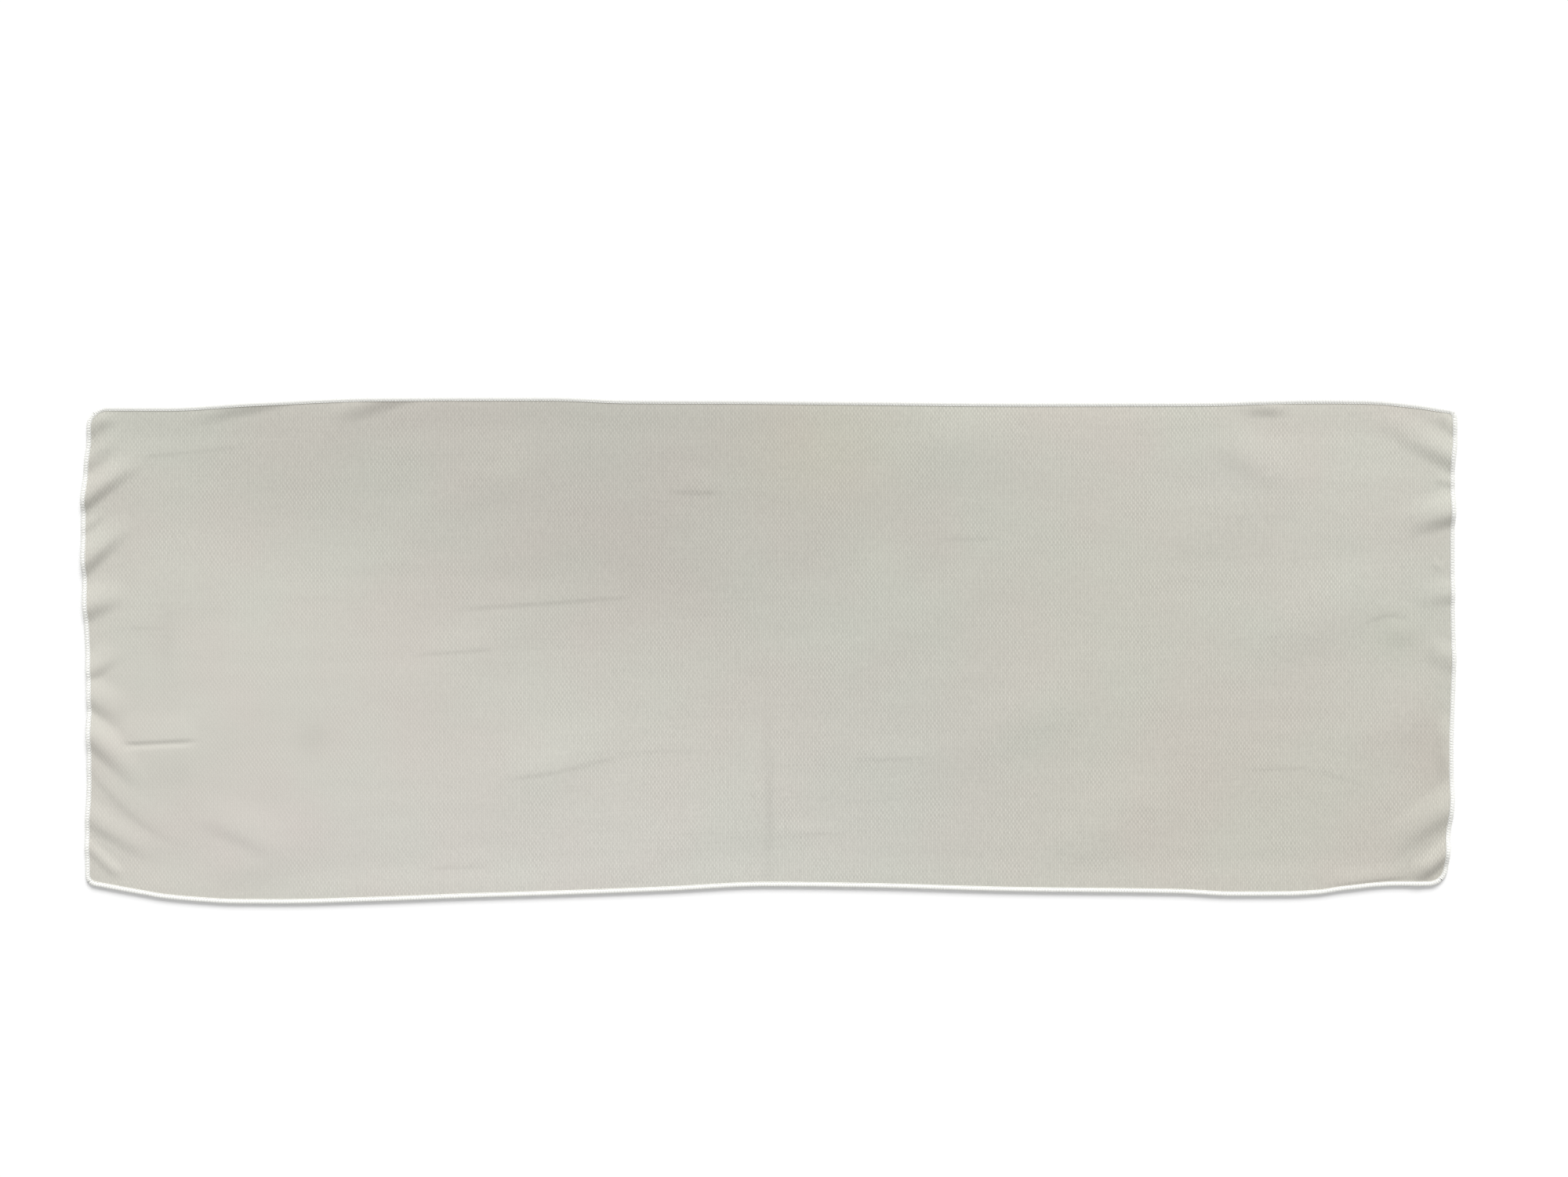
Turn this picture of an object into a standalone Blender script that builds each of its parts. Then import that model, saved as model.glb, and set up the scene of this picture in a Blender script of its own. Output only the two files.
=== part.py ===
"""Cooling towel: one length of perforated knit cloth, laid out flat, with an overlocked hem on each side.

Metres. +X runs along the towel, +Y across it and +Z up. The surface that it lies on is at z = 0, and
the origin is under the middle of the box round the towel.
"""

import math
from collections import namedtuple

import bmesh
import bpy
import numpy as np
from mathutils import Vector
from mathutils.geometry import delaunay_2d_cdt

# Towel, over its hems
TOWEL_LENGTH = 0.826
TOWEL_WIDTH = 0.305

# Cloth and hem
CLOTH_THICKNESS = 0.0010
HEM_CLEARANCE = 0.0003
HEM_WALL = 0.00055
HEM_BITE = 0.0020
RUN_GAP = 0.0003

# Radii of the corners of the open cloth, inside the hem
BACK_LEFT_RADIUS = 0.0095
BACK_RIGHT_RADIUS = 0.0016
FRONT_LEFT_RADIUS = 0.0026
FRONT_RIGHT_RADIUS = 0.0085

# Puckers and folds: the tallest crest, and the width of a full flank
FOLD_HEIGHT = 0.0030
FOLD_WIDTH = 0.0100

# How far inside the hem the cloth comes down to the surface
EDGE_RAMP = 0.020

# Spacing of the points that the cloth's surface goes through
END_SPACING = 0.0065
CLOSEST_STATIONS = 0.0035
MIDDLE_SPACING = 0.022
END_CROWDING = 0.10
CREST_SPACING = 0.0042
CLOSEST_POINTS = 0.0028
STRIP_MARGIN = 0.0003
ARC_STEPS = 6
SLOPE_STEP = 0.00005
MERGE_DISTANCE = 1e-7

# How far each edge of the towel lies inside its box. The first column is the place along the side,
# as a share of the length (front and back, from the left) or of the width (left and right, from the
# front). The second is the distance, as a share of the width.
FRONT_INSET = (
    (0.000, 0.0400),
    (0.027, 0.0262),
    (0.046, 0.0170),
    (0.059, 0.0108),
    (0.083, 0.0046),
    (0.112, 0.0003),
    (0.146, 0.0000),
    (0.214, 0.0046),
    (0.283, 0.0116),
    (0.348, 0.0170),
    (0.424, 0.0247),
    (0.499, 0.0340),
    (0.572, 0.0316),
    (0.679, 0.0239),
    (0.796, 0.0201),
    (0.837, 0.0150),
    (0.876, 0.0154),
    (0.899, 0.0185),
    (0.918, 0.0262),
    (0.956, 0.0350),
    (1.000, 0.0350),
)
BACK_INSET = (
    (0.000, 0.0200),
    (0.062, 0.0200),
    (0.126, 0.0108),
    (0.197, 0.0023),
    (0.283, 0.0000),
    (0.340, 0.0000),
    (0.397, 0.0052),
    (0.482, 0.0062),
    (0.568, 0.0085),
    (0.682, 0.0112),
    (0.807, 0.0108),
    (0.899, 0.0054),
    (0.933, 0.0062),
    (0.967, 0.0139),
    (1.000, 0.0275),
)
LEFT_INSET = (
    (0.000, 0.0090),
    (0.128, 0.0077),
    (0.221, 0.0108),
    (0.390, 0.0120),
    (0.468, 0.0100),
    (0.545, 0.0062),
    (0.637, 0.0023),
    (0.776, 0.0000),
    (0.823, 0.0031),
    (0.869, 0.0062),
    (0.915, 0.0108),
    (1.000, 0.0130),
)
RIGHT_INSET = (
    (0.000, 0.0210),
    (0.082, 0.0170),
    (0.128, 0.0139),
    (0.174, 0.0093),
    (0.221, 0.0062),
    (0.313, 0.0070),
    (0.390, 0.0046),
    (0.468, 0.0023),
    (0.622, 0.0046),
    (0.869, 0.0046),
    (0.915, 0.0000),
    (1.000, 0.0010),
)

# Puckers and folds. A row gives its crest line from its left end to its right end, with x as a share
# of the length from the left and y as a share of the width from the front. Bow is how far the line
# bends to its upper side, as a share of its own length. Height is a share of FOLD_HEIGHT. Shade and
# lit are the widths of its front and back flanks, as shares of FOLD_WIDTH. Fade is the share of its
# length over which it rises from nothing at that end: 0 where it starts full at the hem.
Fold = namedtuple("Fold", "left_x left_y right_x right_y bow height shade lit fade_left fade_right")
FOLDS = (
    # the left end, from the back corner to the front corner
    Fold(0.004, 0.935, 0.027, 0.974, 0.00, 0.50, 0.80, 0.80, 0.0, 0.6),
    Fold(0.005, 0.871, 0.033, 0.937, 0.00, 0.28, 0.70, 0.60, 0.0, 1.0),
    Fold(0.004, 0.798, 0.051, 0.888, 0.02, 1.00, 0.78, 1.20, 0.0, 1.0),
    Fold(0.006, 0.746, 0.025, 0.787, 0.00, 0.20, 0.55, 0.50, 0.0, 1.0),
    Fold(0.004, 0.674, 0.039, 0.763, 0.00, 1.00, 0.82, 1.50, 0.0, 1.0),
    Fold(0.005, 0.584, 0.037, 0.616, 0.03, 0.80, 1.00, 1.60, 0.0, 1.0),
    Fold(0.005, 0.455, 0.031, 0.504, 0.00, 0.58, 0.75, 1.20, 0.0, 1.0),
    Fold(0.006, 0.409, 0.036, 0.358, 0.00, 0.72, 0.95, 1.50, 0.0, 1.0),
    Fold(0.006, 0.335, 0.050, 0.212, 0.03, 1.00, 1.05, 1.40, 0.0, 1.0),
    Fold(0.007, 0.276, 0.093, 0.105, -0.09, 0.21, 0.55, 1.80, 0.0, 0.8),
    Fold(0.005, 0.175, 0.062, 0.086, -0.03, 0.40, 0.75, 1.20, 0.0, 0.8),
    Fold(0.005, 0.115, 0.032, 0.047, 0.00, 0.32, 0.50, 0.55, 0.0, 0.4),
    Fold(0.078, 0.178, 0.152, 0.089, 0.04, 0.30, 1.00, 2.20, 0.5, 0.5),
    # the two sides of the short sharp crease near the left end
    Fold(0.024, 0.318, 0.086, 0.326, 0.00, 0.22, 0.20, 2.00, 0.2, 0.2),
    Fold(0.024, 0.299, 0.086, 0.308, 0.00, 0.18, 2.40, 0.35, 0.2, 0.2),
    # the back edge, from left to right
    Fold(0.074, 0.949, 0.124, 0.987, 0.03, 0.52, 0.85, 0.90, 0.9, 0.0),
    Fold(0.178, 0.958, 0.214, 0.992, 0.00, 0.60, 1.00, 0.80, 0.9, 0.0),
    Fold(0.838, 0.982, 0.883, 0.978, 0.00, 0.48, 0.80, 0.50, 0.5, 0.5),
    Fold(0.820, 0.922, 0.882, 0.818, 0.00, 0.34, 1.30, 2.40, 0.5, 0.5),
    # the right end, from the back corner to the front corner
    Fold(0.983, 0.975, 0.997, 0.942, 0.00, 0.25, 0.75, 0.50, 0.6, 0.0),
    Fold(0.934, 0.978, 0.997, 0.878, -0.02, 0.60, 1.00, 1.35, 1.0, 0.0),
    Fold(0.982, 0.844, 0.997, 0.827, 0.00, 0.16, 0.50, 0.50, 0.6, 0.0),
    Fold(0.957, 0.739, 0.997, 0.772, 0.00, 1.00, 1.00, 1.60, 1.0, 0.0),
    Fold(0.965, 0.599, 0.997, 0.612, 0.00, 0.42, 0.85, 1.20, 1.0, 0.0),
    Fold(0.941, 0.529, 0.980, 0.545, 0.00, 0.19, 1.10, 1.20, 0.5, 0.5),
    Fold(0.971, 0.516, 0.997, 0.484, 0.00, 0.38, 1.15, 1.00, 1.0, 0.0),
    Fold(0.991, 0.383, 0.991, 0.236, 0.00, 0.45, 0.80, 0.35, 0.4, 0.4),
    Fold(0.942, 0.085, 0.995, 0.189, 0.03, 0.88, 1.10, 1.60, 1.0, 0.0),
    Fold(0.964, 0.041, 0.995, 0.111, 0.00, 0.95, 0.70, 0.85, 0.5, 0.0),
    # the front edge, near the right end
    Fold(0.904, 0.038, 0.970, 0.060, 0.00, 0.24, 0.30, 1.00, 0.3, 0.3),
    # long low creases in the middle, from storage
    Fold(0.036, 0.880, 0.120, 0.904, 0.00, 0.06, 0.20, 1.60, 0.15, 0.15),
    Fold(0.272, 0.582, 0.406, 0.608, 0.00, 0.10, 0.20, 1.60, 0.15, 0.15),
    Fold(0.306, 0.248, 0.392, 0.297, -0.03, 0.10, 0.22, 1.60, 0.2, 0.15),
    Fold(0.845, 0.265, 0.895, 0.269, 0.02, 0.07, 0.20, 1.60, 0.2, 0.2),
)

# What follows from the sizes above
HALF_CLOTH = CLOTH_THICKNESS / 2
HEM_NOSE = HEM_CLEARANCE + HEM_WALL
HEM_WIDTH = HEM_NOSE + HEM_BITE
HALF_SLOT = HALF_CLOTH + HEM_CLEARANCE
HALF_HEM = HALF_SLOT + HEM_WALL
EDGE_LIFT = HALF_HEM - HALF_CLOTH

CLOTH_COLOUR = (0.585, 0.569, 0.509, 1.0)
THREAD_COLOUR = (0.86, 0.86, 0.84, 1.0)

Edge = namedtuple("Edge", "outer mitre middles")


def eased(share):
    """0 to 1 with level ends: 3 q^2 - 2 q^3, where q is the share kept between 0 and 1."""
    share = np.clip(share, 0.0, 1.0)
    return share * share * (3.0 - 2.0 * share)


def smooth_through(table, at):
    """A smooth curve through a table's rows: a cubic from row to row, level at each highest or lowest row.

    At any other row its slope is the harmonic mean of the slopes on the two sides.
    """
    places, values = np.array(table).T
    steep = np.diff(values) / np.diff(places)
    before, after = steep[:-1], steep[1:]
    same_way = before * after > 0.0
    mean = 2.0 * before * after / np.where(same_way, before + after, 1.0)
    slopes = np.concatenate((steep[:1], np.where(same_way, mean, 0.0), steep[-1:]))
    at = np.clip(at, places[0], places[-1])
    row = np.clip(np.searchsorted(places, at) - 1, 0, len(places) - 2)
    span = places[row + 1] - places[row]
    t = (at - places[row]) / span
    rise = eased(t)
    leaving = (t**3 - 2 * t**2 + t) * span * slopes[row]
    arriving = (t**3 - t**2) * span * slopes[row + 1]
    return values[row] * (1 - rise) + values[row + 1] * rise + leaving + arriving


def front_y(x):
    return TOWEL_WIDTH * (smooth_through(FRONT_INSET, x / TOWEL_LENGTH + 0.5) - 0.5)


def back_y(x):
    return TOWEL_WIDTH * (0.5 - smooth_through(BACK_INSET, x / TOWEL_LENGTH + 0.5))


def left_x(y):
    return TOWEL_WIDTH * smooth_through(LEFT_INSET, y / TOWEL_WIDTH + 0.5) - TOWEL_LENGTH / 2


def right_x(y):
    return TOWEL_LENGTH / 2 - TOWEL_WIDTH * smooth_through(RIGHT_INSET, y / TOWEL_WIDTH + 0.5)


def side_crossings(on_left):
    """Where the crests and feet of the puckers meet an end of the towel, from front to back."""
    crossings = []
    for fold in FOLDS:
        fade, y = (fold.fade_left, fold.left_y) if on_left else (fold.fade_right, fold.right_y)
        from_end = fold.left_x if on_left else 1.0 - fold.right_x
        if fade == 0.0 and from_end * TOWEL_LENGTH < 2 * HEM_WIDTH:
            middle = (y - 0.5) * TOWEL_WIDTH
            crossings += [middle, middle - fold.shade * FOLD_WIDTH, middle + fold.lit * FOLD_WIDTH]
    return crossings


def stations(start, stop, wanted, spacing):
    """Places from start to stop: first the ends, then the wanted ones, then even ones in what is left."""
    even = np.linspace(start, stop, max(2, math.ceil(abs(stop - start) / spacing) + 1))
    kept = [start, stop]
    for place in list(wanted) + list(even):
        inside = min(start, stop) < place < max(start, stop)
        if inside and min(abs(place - other) for other in kept) > CLOSEST_STATIONS:
            kept.append(place)
    return np.array(sorted(kept, reverse=bool(start > stop)))


def long_side_places(start, stop):
    """Places along a long side, close together near the ends and further apart in the middle."""
    count = math.ceil(TOWEL_LENGTH / MIDDLE_SPACING) + 1
    share = np.linspace(0.0, 1.0, count)
    crowded = share - END_CROWDING * np.sin(2 * math.pi * share)
    return start + (stop - start) * crowded


def corner_of(end_x, side_y):
    """The point where an end and a long side would meet without rounding."""
    x = y = 0.0
    for _ in range(4):
        x = float(end_x(y))
        y = float(side_y(x))
    return np.array((x, y))


def corner_arc(corner, first, last):
    """A quarter ellipse from first to last, which lie on the two sides of the corner."""
    turn = np.linspace(0.0, math.pi / 2, ARC_STEPS + 1)[:, None]
    return corner + (first - corner) * (1 - np.sin(turn)) + (last - corner) * (1 - np.cos(turn))


def towel_edge():
    """The outer line of the hem, anticlockwise from above, and the stations in the middle of its corners.

    Mitre holds, for each station, the way out of the towel. It is as long as a mitred corner needs, so
    that station + distance x mitre lies that distance outside both of the lines that meet there.
    """
    reach = {
        "front_left": FRONT_LEFT_RADIUS + HEM_WIDTH,
        "front_right": FRONT_RIGHT_RADIUS + HEM_WIDTH,
        "back_right": BACK_RIGHT_RADIUS + HEM_WIDTH,
        "back_left": BACK_LEFT_RADIUS + HEM_WIDTH,
    }
    corners = {
        "front_left": corner_of(left_x, front_y),
        "front_right": corner_of(right_x, front_y),
        "back_right": corner_of(right_x, back_y),
        "back_left": corner_of(left_x, back_y),
    }
    front = long_side_places(
        corners["front_left"][0] + reach["front_left"], corners["front_right"][0] - reach["front_right"]
    )
    right = stations(
        corners["front_right"][1] + reach["front_right"],
        corners["back_right"][1] - reach["back_right"],
        side_crossings(on_left=False),
        END_SPACING,
    )
    back = long_side_places(
        corners["back_right"][0] - reach["back_right"], corners["back_left"][0] + reach["back_left"]
    )
    left = stations(
        corners["back_left"][1] - reach["back_left"],
        corners["front_left"][1] + reach["front_left"],
        side_crossings(on_left=True),
        END_SPACING,
    )
    sides = (
        np.column_stack((front, front_y(front))),
        np.column_stack((right_x(right), right)),
        np.column_stack((back, back_y(back))),
        np.column_stack((left_x(left), left)),
    )
    order = ("front_right", "back_right", "back_left", "front_left")
    line, middles = [], []
    for number, name in enumerate(order):
        side, after = sides[number], sides[(number + 1) % 4]
        arc = corner_arc(corners[name], side[-1], after[0])
        line += [*side, *arc[1:-1]]
        middles.append(len(line) - ARC_STEPS // 2)
    outer = np.array(line)
    ahead = np.roll(outer, -1, axis=0) - outer
    ahead /= np.linalg.norm(ahead, axis=1)[:, None]
    out_ahead = np.column_stack((ahead[:, 1], -ahead[:, 0]))
    out_behind = np.roll(out_ahead, 1, axis=0)
    joint = 1.0 + (out_ahead * out_behind).sum(axis=1)
    return Edge(outer, (out_ahead + out_behind) / joint[:, None], middles)


def loop_distance(points, loop):
    """The distance from each point to the closed line through the loop's points."""
    start, step = loop, np.roll(loop, -1, axis=0) - loop
    offset = points[:, None, :] - start[None, :, :]
    along = (offset * step).sum(axis=2) / (step * step).sum(axis=1)
    nearest = start + np.clip(along, 0.0, 1.0)[..., None] * step
    return np.sqrt(((points[:, None, :] - nearest) ** 2).sum(axis=2).min(axis=1))


def fold_line(fold):
    """The left end of a fold's crest, its direction, its upper side and its length."""
    left = np.array(((fold.left_x - 0.5) * TOWEL_LENGTH, (fold.left_y - 0.5) * TOWEL_WIDTH))
    right = np.array(((fold.right_x - 0.5) * TOWEL_LENGTH, (fold.right_y - 0.5) * TOWEL_WIDTH))
    length = np.linalg.norm(right - left)
    along = (right - left) / length
    return left, along, np.array((-along[1], along[0])), length


def fold_lift(points):
    """How far the folds lift the cloth: each has a rounded crest, and where they run together they blend.

    Across a fold the height is cos^2 of a quarter turn at the flank's foot, and along it the height is
    eased in from each end that fades. Folds blend as the root of the sum of their squares.
    """
    squares = np.zeros(len(points))
    for fold in FOLDS:
        left, along, upper, length = fold_line(fold)
        share = (points - left) @ along / length
        held = np.clip(share, 0.0, 1.0)
        across = (points - left) @ upper - fold.bow * length * 4.0 * held * (1.0 - held)
        flank = np.where(across > 0.0, fold.lit, fold.shade) * FOLD_WIDTH
        down = np.minimum(np.abs(across) / flank, 1.0)
        height = fold.height * FOLD_HEIGHT * np.cos(down * math.pi / 2) ** 2
        if fold.fade_left > 0.0:
            height = height * eased(share / fold.fade_left)
        if fold.fade_right > 0.0:
            height = height * eased((1.0 - share) / fold.fade_right)
        squares += height**2
    return np.sqrt(squares)


def cloth_height(points, lip):
    """The height of the middle of the cloth: held up at the hem's lip, down to the surface, plus folds."""
    ramp = 1.0 - eased(loop_distance(points, lip) / EDGE_RAMP)
    return HALF_CLOTH + EDGE_LIFT * ramp + fold_lift(points)


def slope_of(points, lip):
    """The slopes of the cloth along X and Y, from heights a little to each side."""
    east, north = np.array((SLOPE_STEP, 0.0)), np.array((0.0, SLOPE_STEP))
    along_x = cloth_height(points + east, lip) - cloth_height(points - east, lip)
    along_y = cloth_height(points + north, lip) - cloth_height(points - north, lip)
    return np.column_stack((along_x, along_y)) / (2 * SLOPE_STEP)


def edge_heights(edge, lip):
    """The height of the cloth all round, taken at the hem's lip, and how much a slope adds to an upright."""
    ahead = np.roll(lip, -1, axis=0) - np.roll(lip, 1, axis=0)
    ahead /= np.linalg.norm(ahead, axis=1)[:, None]
    heights = HALF_CLOTH + EDGE_LIFT + fold_lift(lip)
    slopes = (slope_of(lip, lip) * ahead).sum(axis=1)
    return heights, np.sqrt(1.0 + slopes**2)


def fold_points():
    """Points along the crest and both feet of every fold, crests first."""
    crests, feet = [], []
    for fold in FOLDS:
        left, along, upper, length = fold_line(fold)
        share = np.linspace(0.0, 1.0, math.ceil(length / CREST_SPACING) + 1)[:, None]
        crest = left + along * length * share + upper * fold.bow * length * 4 * share * (1 - share)
        crests.append(crest)
        feet.append(crest + upper * fold.lit * FOLD_WIDTH)
        feet.append(crest - upper * fold.shade * FOLD_WIDTH)
        feet.append(crest + upper * fold.lit * FOLD_WIDTH / 2)
    return crests + feet


def plain_points():
    """A grid of points for the rest of the cloth, closer together near the two ends."""
    columns = long_side_places(-TOWEL_LENGTH / 2, TOWEL_LENGTH / 2)
    rows = np.linspace(-TOWEL_WIDTH / 2, TOWEL_WIDTH / 2, math.ceil(TOWEL_WIDTH / MIDDLE_SPACING) + 1)
    x, y = np.meshgrid(columns, rows, indexing="ij")
    return np.column_stack((x.ravel(), y.ravel()))


def surface_points(edge, inner):
    """The points inside the cloth, taken in turn and kept where they aren't too close to those before."""
    ramp_foot = edge.outer - edge.mitre * (HEM_WIDTH + EDGE_RAMP)
    groups = [(points, CLOSEST_POINTS) for points in fold_points()]
    groups.append((ramp_foot, 2 * CLOSEST_POINTS))
    groups.append((plain_points(), 2.5 * CLOSEST_POINTS))
    kept = np.empty((0, 2))
    for points, closest in groups:
        for point in points[loop_distance(points, inner) > CLOSEST_POINTS]:
            if len(kept) == 0 or np.linalg.norm(kept - point, axis=1).min() > closest:
                kept = np.vstack((kept, point))
    return kept


def triangles_inside(loop, points):
    """The Delaunay triangles between the loop and the points inside it: places and corner numbers."""
    count = len(loop)
    places = [Vector(place) for place in np.vstack((loop, points))]
    ring = [(i, (i + 1) % count) for i in range(count)]
    found = delaunay_2d_cdt(places, ring, [], 1, MERGE_DISTANCE)
    return np.array([tuple(place) for place in found[0]]), found[2]


def shaded(name, colour, roughness):
    material = bpy.data.materials.new(name)
    material.use_nodes = True
    shader = material.node_tree.nodes["Principled BSDF"]
    shader.inputs["Base Color"].default_value = colour
    shader.inputs["Roughness"].default_value = roughness
    shader.inputs["Metallic"].default_value = 0.0
    return material


def solid(name, places, faces, material):
    """An object of its own from vertices and faces, smooth except at its sharp edges."""
    mesh = bpy.data.meshes.new(name)
    mesh.from_pydata([tuple(place) for place in places], [], faces)
    form = bmesh.new()
    form.from_mesh(mesh)
    bmesh.ops.recalc_face_normals(form, faces=form.faces)
    form.to_mesh(mesh)
    form.free()
    mesh.shade_smooth()
    mesh.set_sharp_from_angle(angle=math.radians(50))
    mesh.materials.append(material)
    made = bpy.data.objects.new(name, mesh)
    bpy.context.collection.objects.link(made)
    return made


def towel_panel(edge, lip, material):
    """The cloth: an even strip inside the hem, then triangles over the folds, with a face above and below."""
    count = len(edge.outer)
    raw_edge = edge.outer - edge.mitre * HEM_NOSE
    inner = edge.outer - edge.mitre * (HEM_WIDTH + STRIP_MARGIN)
    found, triangles = triangles_inside(inner, surface_points(edge, inner))
    at_edge, edge_tall = edge_heights(edge, lip)
    middle = cloth_height(found, lip)
    tall = np.sqrt(1.0 + (slope_of(found, lip) ** 2).sum(axis=1))
    middle[:count], tall[:count] = at_edge, edge_tall
    plan = np.vstack((found, raw_edge))
    height = np.concatenate((middle, at_edge))
    half = HALF_CLOTH * np.concatenate((tall, edge_tall))
    above = np.column_stack((plan, height + half))
    below = np.column_stack((plan, height - half))
    first_raw, first_below = len(found), len(plan)
    faces = [tuple(corners) for corners in triangles]
    for i in range(count):
        j = (i + 1) % count
        faces.append((i, first_raw + i, first_raw + j, j))
    faces += [tuple(first_below + corner for corner in reversed(face)) for face in faces]
    for i in range(count):
        j = (i + 1) % count
        top, bottom = first_raw, first_below + first_raw
        faces.append((top + i, bottom + i, bottom + j, top + j))
    return solid("towel_panel", np.vstack((above, below)), faces, material)


def hem_section():
    """The hem's section: how far each point lies outside the cloth's raw edge, and above its middle."""
    shoulder = HEM_NOSE - HEM_WALL / 2
    return (
        (-HEM_BITE, -HALF_SLOT),
        (-HEM_BITE, -HALF_HEM),
        (shoulder, -HALF_HEM),
        (HEM_NOSE, -HALF_SLOT / 2),
        (HEM_NOSE, HALF_SLOT / 2),
        (shoulder, HALF_HEM),
        (-HEM_BITE, HALF_HEM),
        (-HEM_BITE, HALF_SLOT),
        (HEM_CLEARANCE, HALF_SLOT),
        (HEM_CLEARANCE, -HALF_SLOT),
    )


def hem_run(name, edge, lip, first, last, material):
    """One run of hem, from mid-corner to mid-corner: its section at each station, joined in a row."""
    count = len(edge.outer)
    number = [(first + step) % count for step in range((last - first) % count + 1)]
    height, tall = edge_heights(edge, lip)
    raw_edge = edge.outer - edge.mitre * HEM_NOSE
    section = hem_section()
    places = []
    for order, i in enumerate(number):
        way = np.array((-edge.mitre[i][1], edge.mitre[i][0]))
        way /= np.linalg.norm(way)
        shift = {0: RUN_GAP / 2, len(number) - 1: -RUN_GAP / 2}.get(order, 0.0)
        for out, up in section:
            plan = raw_edge[i] + edge.mitre[i] * out + way * shift
            places.append((*plan, height[i] + up * tall[i]))
    size = len(section)
    faces = [tuple(range(size)), tuple(range(len(places) - size, len(places)))]
    for ring in range(len(number) - 1):
        here, there = ring * size, (ring + 1) * size
        for k in range(size):
            after = (k + 1) % size
            faces.append((here + k, here + after, there + after, there + k))
    return solid(name, places, faces, material)


def build():
    for old in list(bpy.data.objects):
        bpy.data.objects.remove(old, do_unlink=True)
    cloth = shaded("perforated knit cloth", CLOTH_COLOUR, 0.85)
    thread = shaded("overlock thread", THREAD_COLOUR, 0.75)
    edge = towel_edge()
    lip = edge.outer - edge.mitre * HEM_WIDTH
    towel_panel(edge, lip, cloth)
    front_right, back_right, back_left, front_left = edge.middles
    hem_run("hem_front", edge, lip, front_left, front_right, thread)
    hem_run("hem_right", edge, lip, front_right, back_right, thread)
    hem_run("hem_back", edge, lip, back_right, back_left, thread)
    hem_run("hem_left", edge, lip, back_left, front_left, thread)


build()
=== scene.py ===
# %% [markdown]
# # A cooling towel, laid out flat
#
# A cooling towel is one length of thin perforated polyester knit, here about 305 mm by 826 mm, with a
# narrow white overlocked edge. It lies flat on a pale floor, and the sewn edge pulls small puckers into
# its two ends.
#
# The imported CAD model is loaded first, because it fixes every size and place. Each piece that this
# lesson makes takes the place of one plain CAD solid.

import math
from collections import namedtuple

import bpy
import numpy as np
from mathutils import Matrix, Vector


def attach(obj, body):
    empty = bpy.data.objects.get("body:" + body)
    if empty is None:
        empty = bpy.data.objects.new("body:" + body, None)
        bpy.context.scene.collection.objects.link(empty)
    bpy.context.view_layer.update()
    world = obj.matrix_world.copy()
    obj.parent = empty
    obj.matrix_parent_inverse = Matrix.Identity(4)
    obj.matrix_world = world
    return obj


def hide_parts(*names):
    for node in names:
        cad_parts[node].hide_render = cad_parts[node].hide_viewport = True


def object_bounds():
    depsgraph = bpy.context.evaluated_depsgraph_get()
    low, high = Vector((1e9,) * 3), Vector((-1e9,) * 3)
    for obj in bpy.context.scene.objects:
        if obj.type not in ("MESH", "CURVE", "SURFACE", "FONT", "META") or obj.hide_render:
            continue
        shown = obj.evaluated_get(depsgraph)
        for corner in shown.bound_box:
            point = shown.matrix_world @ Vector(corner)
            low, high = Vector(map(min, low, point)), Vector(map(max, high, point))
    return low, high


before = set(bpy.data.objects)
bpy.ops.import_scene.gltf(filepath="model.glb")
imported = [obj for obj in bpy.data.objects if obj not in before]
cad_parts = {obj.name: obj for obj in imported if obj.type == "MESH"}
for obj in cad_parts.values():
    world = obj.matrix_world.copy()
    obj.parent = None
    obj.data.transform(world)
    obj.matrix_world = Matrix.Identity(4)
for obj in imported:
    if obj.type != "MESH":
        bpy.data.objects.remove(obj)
CAD_LOW, CAD_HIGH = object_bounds()
TOWEL_LENGTH, TOWEL_WIDTH = (CAD_HIGH - CAD_LOW)[:2]
print(f"towel {TOWEL_LENGTH * 1000:.1f} by {TOWEL_WIDTH * 1000:.1f} mm, nodes {sorted(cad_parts)}")

# %% [markdown]
# ## The sizes of the cloth and its hem
#
# The cloth is one millimetre thick. The hem is thread that wraps the cloth's raw edge, so it stands a
# little proud of both faces, and the cloth runs into it by two millimetres. These lengths could be
# measured from the loaded solids. They are written out here, because a named length is easier to read
# than a search through a mesh, and they are the CAD model's own.

# %% Sizes in metres
CLOTH_THICKNESS = 0.0010
HEM_CLEARANCE = 0.0003
HEM_WALL = 0.00055
HEM_BITE = 0.0020
RUN_GAP = 0.0003
EDGE_RAMP = 0.020
FOLD_HEIGHT = 0.0030
FOLD_WIDTH = 0.0100

HALF_CLOTH = CLOTH_THICKNESS / 2
HEM_NOSE = HEM_CLEARANCE + HEM_WALL
HEM_WIDTH = HEM_NOSE + HEM_BITE
HALF_SLOT = HALF_CLOTH + HEM_CLEARANCE
HALF_HEM = HALF_SLOT + HEM_WALL
EDGE_LIFT = HALF_HEM - HALF_CLOTH

# radii of the hem's four outer corners
BACK_LEFT_RADIUS = 0.0095 + HEM_WIDTH
BACK_RIGHT_RADIUS = 0.0016 + HEM_WIDTH
FRONT_LEFT_RADIUS = 0.0026 + HEM_WIDTH
FRONT_RIGHT_RADIUS = 0.0085 + HEM_WIDTH
print(f"hem {HEM_WIDTH * 1000:.2f} mm wide and {2 * HALF_HEM * 1000:.2f} mm thick")

# %% [markdown]
# ## The outline
#
# No side of a washed and wrung towel stays straight: the long sides draw in towards the middle, and
# the corners pull out. An outline could be drawn as a curve object. Here each side is a short table of
# places along it and how far it lies inside the towel's box, with a smooth curve through the rows,
# because the cloth and the hem then both follow from the same numbers.

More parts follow.
